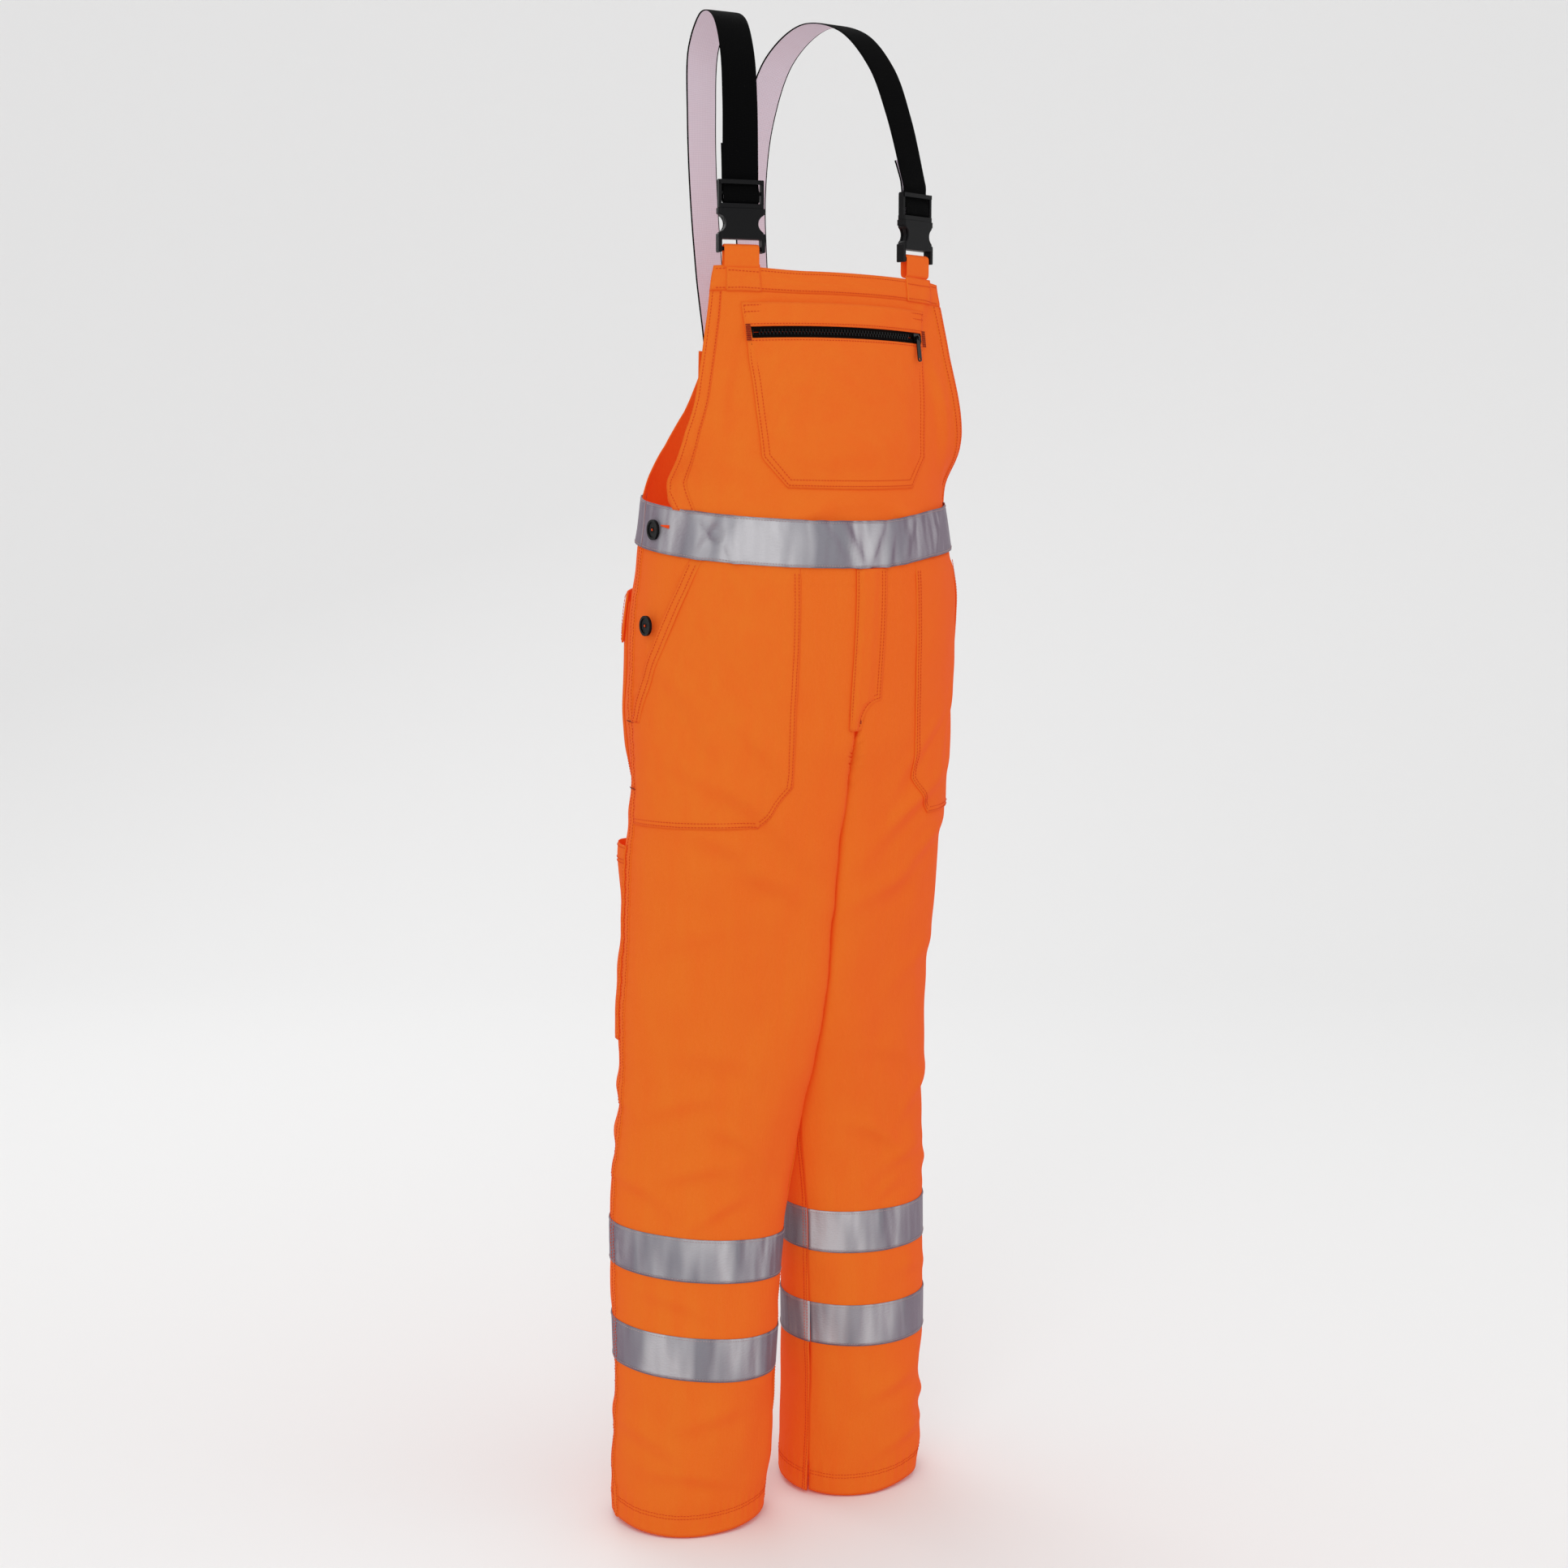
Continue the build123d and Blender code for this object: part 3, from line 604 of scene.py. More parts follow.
def smooth_mesh(name, vertices, faces, material):
    mesh = bpy.data.meshes.new(name)
    mesh.from_pydata(vertices, [], faces)
    mesh.materials.append(material)
    mesh.polygons.foreach_set("use_smooth", [True] * len(mesh.polygons))
    return in_scene(name, mesh)


def new_object(name, vertices, faces, material, slot, replaces=None, body=ROOT):
    """Piece on a body, from points in millimetres."""
    obj = smooth_mesh(name, (vertices * MM).tolist(), faces, material)
    if body:
        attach(obj, body)
    if replaces:
        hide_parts(replaces)
    return obj


def grid_faces(rows, columns, keep=None, flip=False, closed=False):
    faces = []
    for r in range(rows - 1):
        for c in range(columns if closed else columns - 1):
            if keep is not None and not keep[r, c]:
                continue
            n = (c + 1) % columns
            quad = (r * columns + c, r * columns + n, (r + 1) * columns + n, (r + 1) * columns + c)
            faces.append(quad[::-1] if flip else quad)
    return faces


def ring_faces(rows, columns):
    """Faces of a tube of closed rings, capped at both ends."""
    last = (rows - 1) * columns
    caps = [tuple(range(columns))[::-1], tuple(range(last, last + columns))]
    return grid_faces(rows, columns, closed=True) + caps


def spread(points, axis):
    """Distance along a grid's axis, from its mean step."""
    steps = np.linalg.norm(np.diff(points, axis=axis), axis=-1).mean(axis=1 - axis)
    return np.concatenate([[0], np.cumsum(steps)])


def add_uv(mesh, u, v):
    """Cloth coordinates in metres."""
    layer = mesh.uv_layers.new(name="cloth")
    index = np.empty(len(mesh.loops), int)
    mesh.loops.foreach_get("vertex_index", index)
    flat = np.stack([u.ravel()[index], v.ravel()[index]], -1) * MM
    layer.data.foreach_set("uv", flat.ravel())


def sheet(name, surface, grid, lift=0, side="right", thick=1.2, material=ORANGE, slot="orange_cloth",
          keep=None, replaces=None, body=ROOT):
    """Cloth piece on a surface. grid: u and v, with rows up the level. Its thickness is added inwards.
    A piece called after a CAD node takes that node's place."""
    u, v = grid
    node = name.removesuffix("_cloth")
    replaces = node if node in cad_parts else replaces
    points, _ = lifted(surface, u, v, lift, side)
    faces = grid_faces(*u.shape, keep, (OUTWARD[surface] < 0) != (side == "left"))
    obj = new_object(name, placed(points, side).reshape(-1, 3), faces, material, slot, replaces, body)
    width, height = np.meshgrid(spread(points, 1), spread(points, 0))
    add_uv(obj.data, width, height + (v[0, 0] if surface is leg_base else 0))
    shell = obj.modifiers.new("thickness", "SOLIDIFY")
    shell.thickness = thick * MM
    shell.offset = -1
    return obj


def between(edge, levels, columns, inset=0.0):
    """Grid between two edges that mirror each other. edge: rows of level and half width."""
    half = at_level(edge, levels) - inset
    return panel(-half, half, levels, columns)


def climb(low, high, step=4.0):
    """Levels about a step apart."""
    return np.linspace(low, high, max(2, int((high - low) / step) + 1))


def pairs(u, v):
    return np.stack(np.broadcast_arrays(u, v), -1)


def panel(starts, ends, levels, columns):
    """u and v between two edges, each of them one number or a number for every level."""
    starts, ends = (np.broadcast_to(edge, levels.shape)[:, None] for edge in (starts, ends))
    u = starts + (ends - starts) * np.linspace(0, 1, columns)
    return u, np.repeat(levels[:, None], columns, axis=1)


STITCH_RING = 6
THREAD_STEP = 2.5


def stitches(name, rows, material=THREAD, pitch=3.6, fill=0.72, radius=0.42, **links):
    """Threads lying on the cloth. rows: points and normals of each line, already in place."""
    profile = np.array([(-0.5, 0.35), (-0.36, 0.9), (0, 1.0), (0.36, 0.9), (0.5, 0.35)])
    shift, scale = profile.T[:, :, None, None]
    a = np.linspace(0, 2 * math.pi, STITCH_RING, endpoint=False)[:, None]
    vertices = []
    for points, normals in rows:
        lengths = run_length(points)
        count = int(lengths[-1] / pitch)
        middles = (np.arange(count) + 0.5) * lengths[-1] / max(count, 1)
        along = unit(along_line(points, lengths, middles + 0.8) - along_line(points, lengths, middles - 0.8))
        up = unit(along_line(normals, lengths, middles))
        centre, across = along_line(points, lengths, middles), np.cross(along, up)
        centre, along, across, up = (part[:, None, None] for part in (centre, along, across, up))
        ring = across * np.cos(a) * radius * scale + up * (np.sin(a) * radius + 0.2) * scale
        vertices.append((centre + along * shift * pitch * fill + ring).reshape(-1, 3))
    vertices = np.concatenate(vertices)
    pattern = ring_faces(len(profile), STITCH_RING)
    starts = range(0, len(vertices), len(profile) * STITCH_RING)
    faces = [tuple(start + k for k in face) for start in starts for face in pattern]
    return new_object(name, vertices, faces, material, "orange_thread", **links)


def threads(surface, lift, paths, side="right"):
    """Points and normals of lines of stitching, from their paths in the surface's u and v."""
    rows = []
    for path in paths:
        path = np.asarray(path, float)
        fine = []
        for a, b, gap in zip(path, path[1:], np.diff(run_length(surface(*path.T, side)))):
            count = max(2, int(gap / THREAD_STEP) + 1)
            fine.extend(a + (b - a) * t for t in np.linspace(0, 1, count, endpoint=False))
        line = lifted(surface, *np.array(fine + [path[-1]]).T, lift, side)
        rows.append([placed(part, side) for part in line])
    return rows


def tube(name, points, ups, half_width, half_thick, material, inner=None, **links):
    """Flat band with rounded edges, swept along a path. inner: another material for its inner face."""
    a = np.linspace(0, 2 * math.pi, 24, endpoint=False)
    x = np.sign(np.cos(a)) * np.abs(np.cos(a)) ** 0.25 * half_width
    y = np.sign(np.sin(a)) * np.abs(np.sin(a)) ** 0.7 * half_thick
    along = unit(np.gradient(points, axis=0))
    across = unit(np.cross(along, ups))
    up = np.cross(across, along)
    grid = points[:, None] + across[:, None] * x[:, None] + up[:, None] * y[:, None]
    rows, columns = grid.shape[:2]
    obj = new_object(name, grid.reshape(-1, 3), ring_faces(rows, columns), material, **links)
    add_uv(obj.data, np.tile(x, rows), np.repeat(spread(grid, 0), columns))
    if inner:
        obj.data.materials.append(inner)
        edge = np.abs(x + np.roll(x, -1)) / 2 > half_width * 0.9
        inward = ~edge & (y + np.roll(y, -1) < 0)
        for face, turned in zip(obj.data.polygons, np.tile(inward, rows - 1)):
            face.material_index = int(turned)
    return obj


def finish_cad(name, material, width):
    """Material and softened edges for a piece that stays as the CAD made it."""
    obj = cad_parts[name]
    obj.data.materials.clear()
    obj.data.materials.append(material)
    bevel = obj.modifiers.new("edges", "BEVEL")
    bevel.width = width * MM
    bevel.segments = 2
    bevel.limit_method = "ANGLE"
    bevel.angle_limit = math.radians(30)


# ---- trousers ----
LEG_TOP = WAIST - 2.0
HEM = 22.0
LEG_ROUND = np.linspace(-66, 292, 60)  # angles of a line of stitching round a leg


def leg_panels(side):
    levels = climb(0, LEG_TOP)
    start = np.maximum(front_edge(levels) + 0.15, slit_edge(levels))
    sheet(f"{side}_front_leg_cloth", leg_base, panel(start, SIDE_SEAM, levels, 84), 0, side)
    grid = panel(SIDE_SEAM, back_edge(levels) - 0.15, levels, 96)
    sheet(f"{side}_back_leg_cloth", leg_base, grid, 0, side)


def slit_edge(levels):
    """Angle at which the front panel meets the edge of the fly's slit; far round where there is none."""
    return np.where((levels > FLY_FOOT) & (levels < FLY_TOP + 8), -middle_angle(levels, SLIT, 1), -400)


def inner_layers(side):
    """The hem facing, and the cut pad and its lining behind the front panel."""
    sheet(f"{side}_hem_facing_cloth", leg_base, panel(-66.5, 292.5, climb(1.5, 31), 150), -1.7, side,
          material=ORANGE_INNER)
    levels = climb(56, 800, 10)
    grid = panel(front_edge(levels) + 12, SIDE_SEAM - 5.0, levels, 44)
    sheet(f"{side}_cut_pad_fibre", leg_base, grid, -1.8, side, 5.0, FIBRE, "cut_fibre",
          replaces=f"{side}_cut_pad")
    levels = climb(40, 816, 8)
    grid = panel(front_edge(levels) + 9, SIDE_SEAM - 3.0, levels, 56)
    sheet(f"{side}_pad_lining_cloth", leg_base, grid, -7.6, side, 0.8, LINING, "lining_cloth")


def seam_strips(side):
    """The felled side seam and the inseam stand proud of the cloth, and lie flat under the bands."""
    levels = climb(0, LEG_TOP)
    half = 5.0 / ARC
    flat = (1 - 0.9 * np.clip(tape_hold(levels), 0, 1))[:, None]
    lift = 0.1 + (1.2 - 0.9 * np.linspace(-1, 1, 7) ** 4) * flat
    grid = panel(SIDE_SEAM - half, SIDE_SEAM + half, levels, 7)
    sheet(f"{side}_side_seam", leg_base, grid, lift, side, 1.4)
    edge = back_edge(levels)
    start = edge - np.where(levels < CROTCH - 10, 7.0, 4.0) / ARC
    lift = 0.1 + 0.9 * (1 - np.linspace(1, 0, 6) ** 4) * flat
    sheet(f"{side}_inseam", leg_base, panel(start, edge - 0.1, levels, 6), lift, side)


def leg_stitching(side):
    paths = [pairs(SIDE_SEAM + offset / ARC, (2, LEG_TOP - 20)) for offset in (-3.4, 3.4)]
    rows = threads(leg_base, 1.2, paths, side)
    levels = np.arange(2, 1080, 12.0)
    paths = [pairs(back_edge(levels) - offset / ARC, levels) for offset in (5.6, 2.0)]
    rows += threads(leg_base, 1.0, paths, side)
    rows += threads(leg_base, 0.1, [pairs(LEG_ROUND, height) for height in (HEM, HEM + 4)], side)
    stitches(f"{side}_leg_stitching", rows)


# ---- reflective bands ----
WAIST_HALF = 25.0


def band(name, surface, start, end, levels, lift, side="right", columns=150, **links):
    grid = panel(start, end, np.linspace(*levels, 13), columns)
    sheet(name, surface, grid, lift, side, 0.8, TAPE, "reflective_tape", **links)


def leg_bands(side):
    rows = []
    for name, levels in LEG_TAPES.items():
        node = f"{side}_{name}_leg_tape"
        band(f"{side}_{name}_leg_band", leg_base, -66, 294.1, levels, 1.1, side, replaces=node)
        low, high = levels
        rows += threads(leg_base, 1.1, [pairs(LEG_ROUND, height) for height in (low + 2.6, high - 2.6)], side)
    stitches(f"{side}_leg_band_stitching", rows, TAPE_THREAD, 3.2)


def waist_bands():
    low, high = WAIST - WAIST_HALF, WAIST + WAIST_HALF
    band("front_waist_band", waist_base, -97, 97, (low, high), 1.9, columns=190, replaces="front_waist_tape")
    band("back_waist_band", waist_base, 98, 262, (low, high), 1.9, columns=230, replaces="back_waist_tape")
    rows = []
    for height in (low + 2.4, high - 2.4):
        turns = (np.linspace(-96, 96, 60), np.linspace(99, 261, 120))
        rows += threads(waist_base, 1.9, [pairs(turn, height) for turn in turns])
    stitches("waist_band_stitching", rows, TAPE_THREAD, 3.2)


def waist_inside():
    """Waistbands and the elastic, behind the cloth."""
    levels = np.linspace(WAIST - 24, WAIST - 2, 6)
    near_fly = math.degrees(math.asin(20 / 187))
    for side, *edges, node in (("right", near_fly, 96, "front_waistband"), ("left", -96, -near_fly, None)):
        grid = panel(*edges, levels, 60)
        sheet(f"{side}_front_waistband_cloth", waist_base, grid, -1.9, thick=2.0, material=ORANGE_INNER,
              replaces=node)
    sheet("back_waistband_cloth", waist_base, panel(99, 261, levels, 200), -1.9, material=ORANGE_INNER)
    sheet("waist_elastic_band", waist_base, panel(110, 250, levels, 180), -4.4, thick=2.0,
          material=ELASTIC_INNER, slot="elastic_band", replaces="waist_elastic")


# ---- bib ----
BIB_TURN = 24.0  # depth of the top hem
POCKET_TOP = 1386.0
POCKET_FOOT = 1203.0
POCKET_EDGE = [(POCKET_FOOT, 82), (POCKET_FOOT + 27, 108), (POCKET_TOP, 119)]
ZIP_SLOT = 6.2


def bib_sheets():
    sheet("bib_cloth", bib_base, between(BIB_EDGE, climb(WAIST, BIB_TOP), 92), replaces="bib_panel")
    grid = between(BIB_EDGE, climb(WAIST, BIB_TOP - 2, 8), 50, 4)
    sheet("bib_lining_cloth", bib_base, grid, -1.7, "right", 0.8, ORANGE_INNER, "lining_cloth")
    foot = BIB_TOP - BIB_TURN
    levels = climb(foot, BIB_TOP + 0.4)
    rise = ease(levels, foot, foot + 5)[:, None]
    sheet("bib_top_hem", bib_base, between(BIB_EDGE, levels, 92, -0.3), 0.1 + 0.9 * rise, thick=0.8)
    rows = threads(bib_base, 1.0, [pairs((-147, 147), BIB_TOP - drop) for drop in (21, 3)])
    levels = climb(WAIST + WAIST_HALF + 1, foot)
    half = at_level(BIB_EDGE, levels)
    rise = ease(np.linspace(0.1, 1, 7), 0.1, 0.4)
    for sign, side in ((-1, "right"), (1, "left")):
        edges = (sign * (half - 14), sign * (half + 0.3))[::sign]
        sheet(f"bib_side_hem_{side}", bib_base, panel(*edges, levels, 7), rise[::sign], thick=0.8)
        rows += threads(bib_base, 1.0, [pairs(sign * (half - inset), levels) for inset in (3.0, 12.0)])
    stitches("bib_stitching", rows)


def pocket_lift(u, levels, half):
    """Stands off the bib in the middle and comes down to it at the sewn edges."""
    edge = (half[:, None] - np.abs(u)).clip(0)
    foot = (levels - POCKET_FOOT)[:, None]
    near_zip = np.exp(-(((levels - ZIP_LEVEL) / 26) ** 2))[:, None]
    puff = 1.6 + 4.2 * ease(edge, 4, 40) * ease(foot, 4, 45) * (1 - near_zip)
    return puff + 2.6 * near_zip * ease(edge, 0, 5)


def bib_pocket():
    lower = climb(POCKET_FOOT, ZIP_LEVEL - ZIP_SLOT)
    levels = np.concatenate([lower, climb(ZIP_LEVEL + ZIP_SLOT, POCKET_TOP)])
    half = at_level(POCKET_EDGE, levels)
    t = np.concatenate([[-1, -0.985], np.linspace(-0.952, 0.952, 66), [0.985, 1]])
    u, v = half[:, None] * t, np.repeat(levels[:, None], len(t), axis=1)
    keep = np.ones((len(levels) - 1, len(t) - 1), bool)
    keep[len(lower) - 1, 2:-2] = False
    sheet("bib_pocket_cloth", bib_base, (u, v), pocket_lift(u, levels, half), keep=keep)
    outlines = []
    for inset in (2.6, 8.0):
        right = [(82 - inset * 0.4, POCKET_FOOT + inset), (108 - inset, POCKET_FOOT + 28 + inset * 0.3)]
        right.append((119 - inset, POCKET_TOP - 2))
        outlines.append([(-x, level) for x, level in right[::-1]] + right)
    rows = threads(bib_base, 1.8, outlines)
    rows += threads(bib_base, 3.2, [pairs((-117, 117), POCKET_TOP - drop) for drop in (3, 9)])
    gap = ZIP_SLOT + 2.5
    rows += threads(bib_base, 4.6, [pairs((-112, 112), ZIP_LEVEL + rise) for rise in (gap, -gap)])
    stitches("bib_pocket_stitching", rows)
    places = [x + shift for x in (-114.5, 114.5) for shift in np.arange(-3, 4) * 0.75]
    bars = threads(bib_base, 4.6, [pairs(x, (ZIP_LEVEL - 9, ZIP_LEVEL + 9)) for x in places])
    stitches("bib_pocket_bartacks", bars, DARK_THREAD, 2.2, 0.95)


def zips():
    for low, name, node in ((0.2, "upper", "bib_zip_tapes"), (-13.0, "lower", None)):
        levels = np.linspace(ZIP_LEVEL + low, ZIP_LEVEL + low + 12.8, 10)
        cord = 0.9 * np.exp(-(((np.abs(levels - ZIP_LEVEL) - 2.6) / 0.9) ** 2))[:, None]
        sheet(f"bib_zip_{name}_tape", bib_base, panel(-112, 112, levels, 80), 3.2 + cord, "right", 0.5,
              ZIP_CLOTH, "zip_cloth", replaces=node)
    for node in ("bib_zip_teeth", "bib_zip_stops", "fly_zip_teeth"):
        finish_cad(node, TOOTH, 0.3)
    for node in ("bib_zip_slider", "bib_zip_pull", "fly_zip_slider", "fly_zip_pull"):
        finish_cad(node, ENAMEL, 0.25)


# ---- back panel ----
def back_sheets():
    levels = climb(WAIST, BACK_TOP)
    sheet("back_cloth", back_base, between(BACK_EDGE, levels, 80), replaces="back_panel")
    half = at_level(BACK_EDGE, levels)
    paths = [pairs(sign * (half - inset), levels) for sign in (-1, 1) for inset in (3.0, 11.0)]
    stitches("back_stitching", threads(back_base, 0.1, paths))


# ---- pockets on the trousers ----
HIP_TOP = 1128.0
HIP_FOOT = 821.0
HIP_INNER = {"right": (76.0, 74.0), "left": (76.0, 92.0)}  # from the middle plane: at the top, at the foot
HIP_CORNER = (34.0, 44.0)  # width and height of the cut corner
OPENING = [(932, SIDE_SEAM - 3.2), (HIP_TOP, 55.0)]  # level and angle of the mouth's edge
BACK_POCKET = (116.0, 160.0)
BACK_POCKET_LEVELS = (868.0, 1058.0)
BACK_ARC = 1.9  # millimetres of cloth per degree at the back pocket
FLAP_TOP = 1066.0
FLAP_FOOT = FLAP_TOP - 52
RULE = (107.0, 148.0, 570.0, 794.0)


def angle_at_x(levels, x):
    """Angle on the front of the leg where the cloth is a given distance from the middle plane."""
    angles = np.linspace(-60, 88, 300)
    out = []
    for level, distance in zip(levels, np.broadcast_to(x, levels.shape)):
        reach = -leg_base(angles, np.full(angles.shape, level), "right")[:, 0]
        out.append(np.interp(distance, np.maximum.accumulate(reach), angles))
    return np.array(out)


def under_tape(levels):
    """Share of a pocket's height that is left where it goes in under the waist band."""
    return 1 - 0.75 * ease(levels, HIP_TOP - 20, HIP_TOP - 8)


def hip_slack(levels):
    """How far the mouth of a hip pocket hangs open."""
    return 3.2 * ease(levels, 900, 990) * (1 - ease(levels, 1060, HIP_TOP))


def hip_pocket(side):
    levels = climb(HIP_FOOT, HIP_TOP)
    at_top, at_foot = HIP_INNER[side]
    cut, tall = HIP_CORNER
    inner_x = at_foot + (at_top - at_foot) * (levels - HIP_FOOT) / (HIP_TOP - HIP_FOOT)
    inner_x = inner_x + cut * (1 - np.clip((levels - HIP_FOOT) / tall, 0, 1))
    u, v = panel(angle_at_x(levels, inner_x), at_level(OPENING, levels), levels, 60)
    slack = hip_slack(levels)[:, None] * ease(np.linspace(0, 1, 60), 0.55, 1.0)
    lift = (1.5 + slack + 0.5 * waves(u * ARC, v, 61, 10, 50, 120)) * under_tape(levels)[:, None]
    sheet(f"{side}_hip_pocket_cloth", leg_base, (u, v), lift, side)
    hem = levels[levels > OPENING[0][0]]
    edge = at_level(OPENING, hem)
    lift = ((2.6 + hip_slack(hem)) * under_tape(hem))[:, None]
    sheet(f"{side}_hip_pocket_hem", leg_base, panel(edge - 13 / ARC, edge + 0.3, hem, 8), lift, side)
    paths = []
    for inset in (2.4, 6.6):
        foot = HIP_FOOT + inset
        seen = (levels > foot) & (levels < HIP_TOP - 10)
        paths.append(pairs(angle_at_x(levels, inner_x + inset), levels)[seen])
        corner = angle_at_x(np.array([foot]), at_foot + cut + inset * 0.4)[0]
        paths.append([(corner, foot), (SIDE_SEAM - 4, foot)])
    rows = threads(leg_base, 1.8, paths, side)
    seen = hem < HIP_TOP - 10
    for inset in (2.6, 9.0):
        line = lifted(leg_base, (edge - inset / ARC)[seen], hem[seen], 2.9 + hip_slack(hem[seen]), side)
        rows.append([placed(part, side) for part in line])
    stitches(f"{side}_hip_pocket_stitching", rows)
    across = SIDE_SEAM + np.array([-5.7, 0.8])
    bars = [pairs(across + 0.55 * k, level + 0.2 * k) for level in (934, 860) for k in range(5)]
    stitches(f"{side}_pocket_bartacks", threads(leg_base, 2.6, bars, side), DARK_THREAD, 2.4, 0.95, 0.5)


def back_pocket(side):
    left, right = BACK_POCKET
    low, high = BACK_POCKET_LEVELS
    levels = climb(low, high)
    corner = 7.0 * (1 - np.clip((levels - low) / 28, 0, 1))
    puff = 1.4 + 3.2 * (1 - np.linspace(-1, 1, 40) ** 4) * ease(levels, low, low + 50)[:, None]
    grid = panel(left + corner, right - corner, levels, 40)
    sheet(f"{side}_back_pocket_cloth", leg_base, grid, puff, side)
    paths = []
    for inset in (2.4 / BACK_ARC, 8.0 / BACK_ARC):
        a, b, foot, top = left + inset, right - inset, low + inset * 2, high - 4
        paths.append([(a, top), (a, low + 28), (a + 7, foot), (b - 7, foot), (b, low + 28), (b, top)])
    stitches(f"{side}_back_pocket_stitching", threads(leg_base, 1.7, paths, side))


def back_flap(side):
    left, right = BACK_POCKET[0] - 1, BACK_POCKET[1] + 1
    levels = np.linspace(FLAP_FOOT, FLAP_TOP, 14)
    corner = 4.0 * (1 - np.clip((levels - FLAP_FOOT) / 14, 0, 1))
    lift = 5.6 + 0.8 * (1 - ease(levels, FLAP_FOOT, FLAP_TOP - 10))[:, None]
    body, top = f"{side}_back_flap", FLAP_TOP - 3
    grid = panel(left + corner, right - corner, levels, 42)
    cloth = sheet(f"{body}_cloth", leg_base, grid, lift, side, 2.2, body=None)
    paths = []
    for inset in (2.4, 8.0):
        a, b, foot = left + inset / BACK_ARC, right - inset / BACK_ARC, FLAP_FOOT + inset
        paths.append([(a, top), (a, foot + 12), (a + 4, foot), (b - 4, foot), (b, foot + 12), (b, top)])
    rows = threads(leg_base, 6.5, paths, side) + threads(leg_base, 6.0, [pairs(BACK_POCKET, top)], side)
    for obj in (cloth, stitches(f"{body}_stitching", rows, body=None)):
        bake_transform(obj)


def rule_puff(level, t):
    """Height of the rule pocket across its width, t from -1 to 1. Its mouth gapes."""
    high = RULE[3]
    return 2.6 * (1 - t**4) + 7.0 * ease(level, high - 70, high) * (1 - t**2) ** 1.5


def rule_pocket():
    left, right, low, high = RULE
    levels = climb(low, high)
    lift = 1.4 + rule_puff(levels[:, None], np.linspace(-1, 1, 30))
    sheet("rule_pocket_cloth", leg_base, panel(left, right, levels, 30), lift)
    paths = []
    for inset in (1.5, 4.6):
        a, b, foot = left + inset, right - inset, low + inset * 1.7
        paths.append([(a, high - 2), (a, foot), (b, foot), (b, high - 2)])
    rows = threads(leg_base, 1.9, paths)
    u = np.linspace(left + 0.6, right - 0.6, 24)
    t = (u - (left + right) / 2) / ((right - left) / 2)
    rows += [lifted(leg_base, u, high - drop, 1.7 + rule_puff(high - drop, t)) for drop in (3, 16, 20)]
    stitches("rule_pocket_stitching", rows)


# ---- fly ----
FLAP_EDGES = (-11.0, 30.0)
FLAP_ROUND = (26.0, 36.0)  # width and height of the flap's rounded foot


def fly_flap():
    left, right = FLAP_EDGES
    wide, tall = FLAP_ROUND
    low, high = FLY_FOOT - 9, WAIST - WAIST_HALF + 2
    levels = climb(low, high)
    curve = wide * np.sqrt(1 - np.clip((levels - low) / tall, 0, 1) ** 2)
    t = np.linspace(0, 1, 24)
    lift = 2.0 + 2.6 * ease(t, 0.02, 0.2) * (1 - ease(t, 0.45, 0.8))
    cloth = sheet("fly_flap_cloth", fly_surface, panel(left, right - curve, levels, 24), lift, thick=1.6,
                  body=None)
    paths = []
    for inset in (3.0, 7.0):
        edge, s = right - inset, np.linspace(1, 0.02, 12)
        bend = pairs(edge - wide * np.sqrt(1 - s * s), low + inset + tall * s)
        paths.append([(edge, high - 2), *bend])
    rows = threads(fly_surface, 2.2, paths)
    rows += threads(fly_surface, 2.6, [pairs(left + 1.8, (high - 2, low + 4))])
    for obj in (cloth, stitches("fly_flap_stitching", rows, body=None)):
        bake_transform(obj)


def fly_inside():
    levels = climb(FLY_FOOT + 4, FLY_TOP, 6)
    for name, *edges, node in (("right", -14.0, -3.2, "fly_zip_tapes"), ("left", 3.2, 14.0, None)):
        sheet(f"fly_zip_{name}_tape", fly_surface, panel(*edges, levels, 6), -4.2, "right", 0.5, ZIP_CLOTH,
              "zip_cloth", replaces=node)
    bars = [[(-10, FLY_FOOT + 1 + k * 0.7), (4, FLY_FOOT - 1 + k * 0.7)] for k in range(6)]
    stitches("fly_bartack", threads(fly_surface, 1.6, bars), DARK_THREAD, 2.4, 0.95, 0.5)


# ---- braces ----
# the right brace over the shoulder, from the back panel to the buckle
BRACE_PATH = [
    (-27, None, 1303),
    (-27, None, 1342),
    (-31, 133, 1430),
    (-34, 141, 1530),
    (-41, 133, 1610),
    (-54, 108, 1675),
    (-69, 57, 1706),
    (-85, 4, 1694),
    (-99, -34, 1652),
    (-109, -55, 1597),
]
BRACE_HALF = 20.0
ANCHOR_TURN = 6.5  # degrees of the band about the vertical, at its two ends
BUCKLE_TURN = -15.0
BRACE_THICK = 1.7
TAB_HALF = 19.5  # half width of the cloth loop on the buckle
LEFT_BRACE = 0.91  # share of the right brace's distance from the middle plane
# distance outside the buckle's middle and height over the plug's top, round the plug's bar
PLUG_TURN = [
    (-0.6, -3),
    (1.2, -9),
    (3.1, -15),
    (3.1, -20),
    (2.2, -23.2),
    (0, -24),
    (-2.2, -23.2),
    (-3.3, -19),
    (-3.4, -2),
]
BRACE_TAIL = [(3.2, 14), (3.9, 26), (5.2, 38)]  # distance behind the band, height over the plug's top


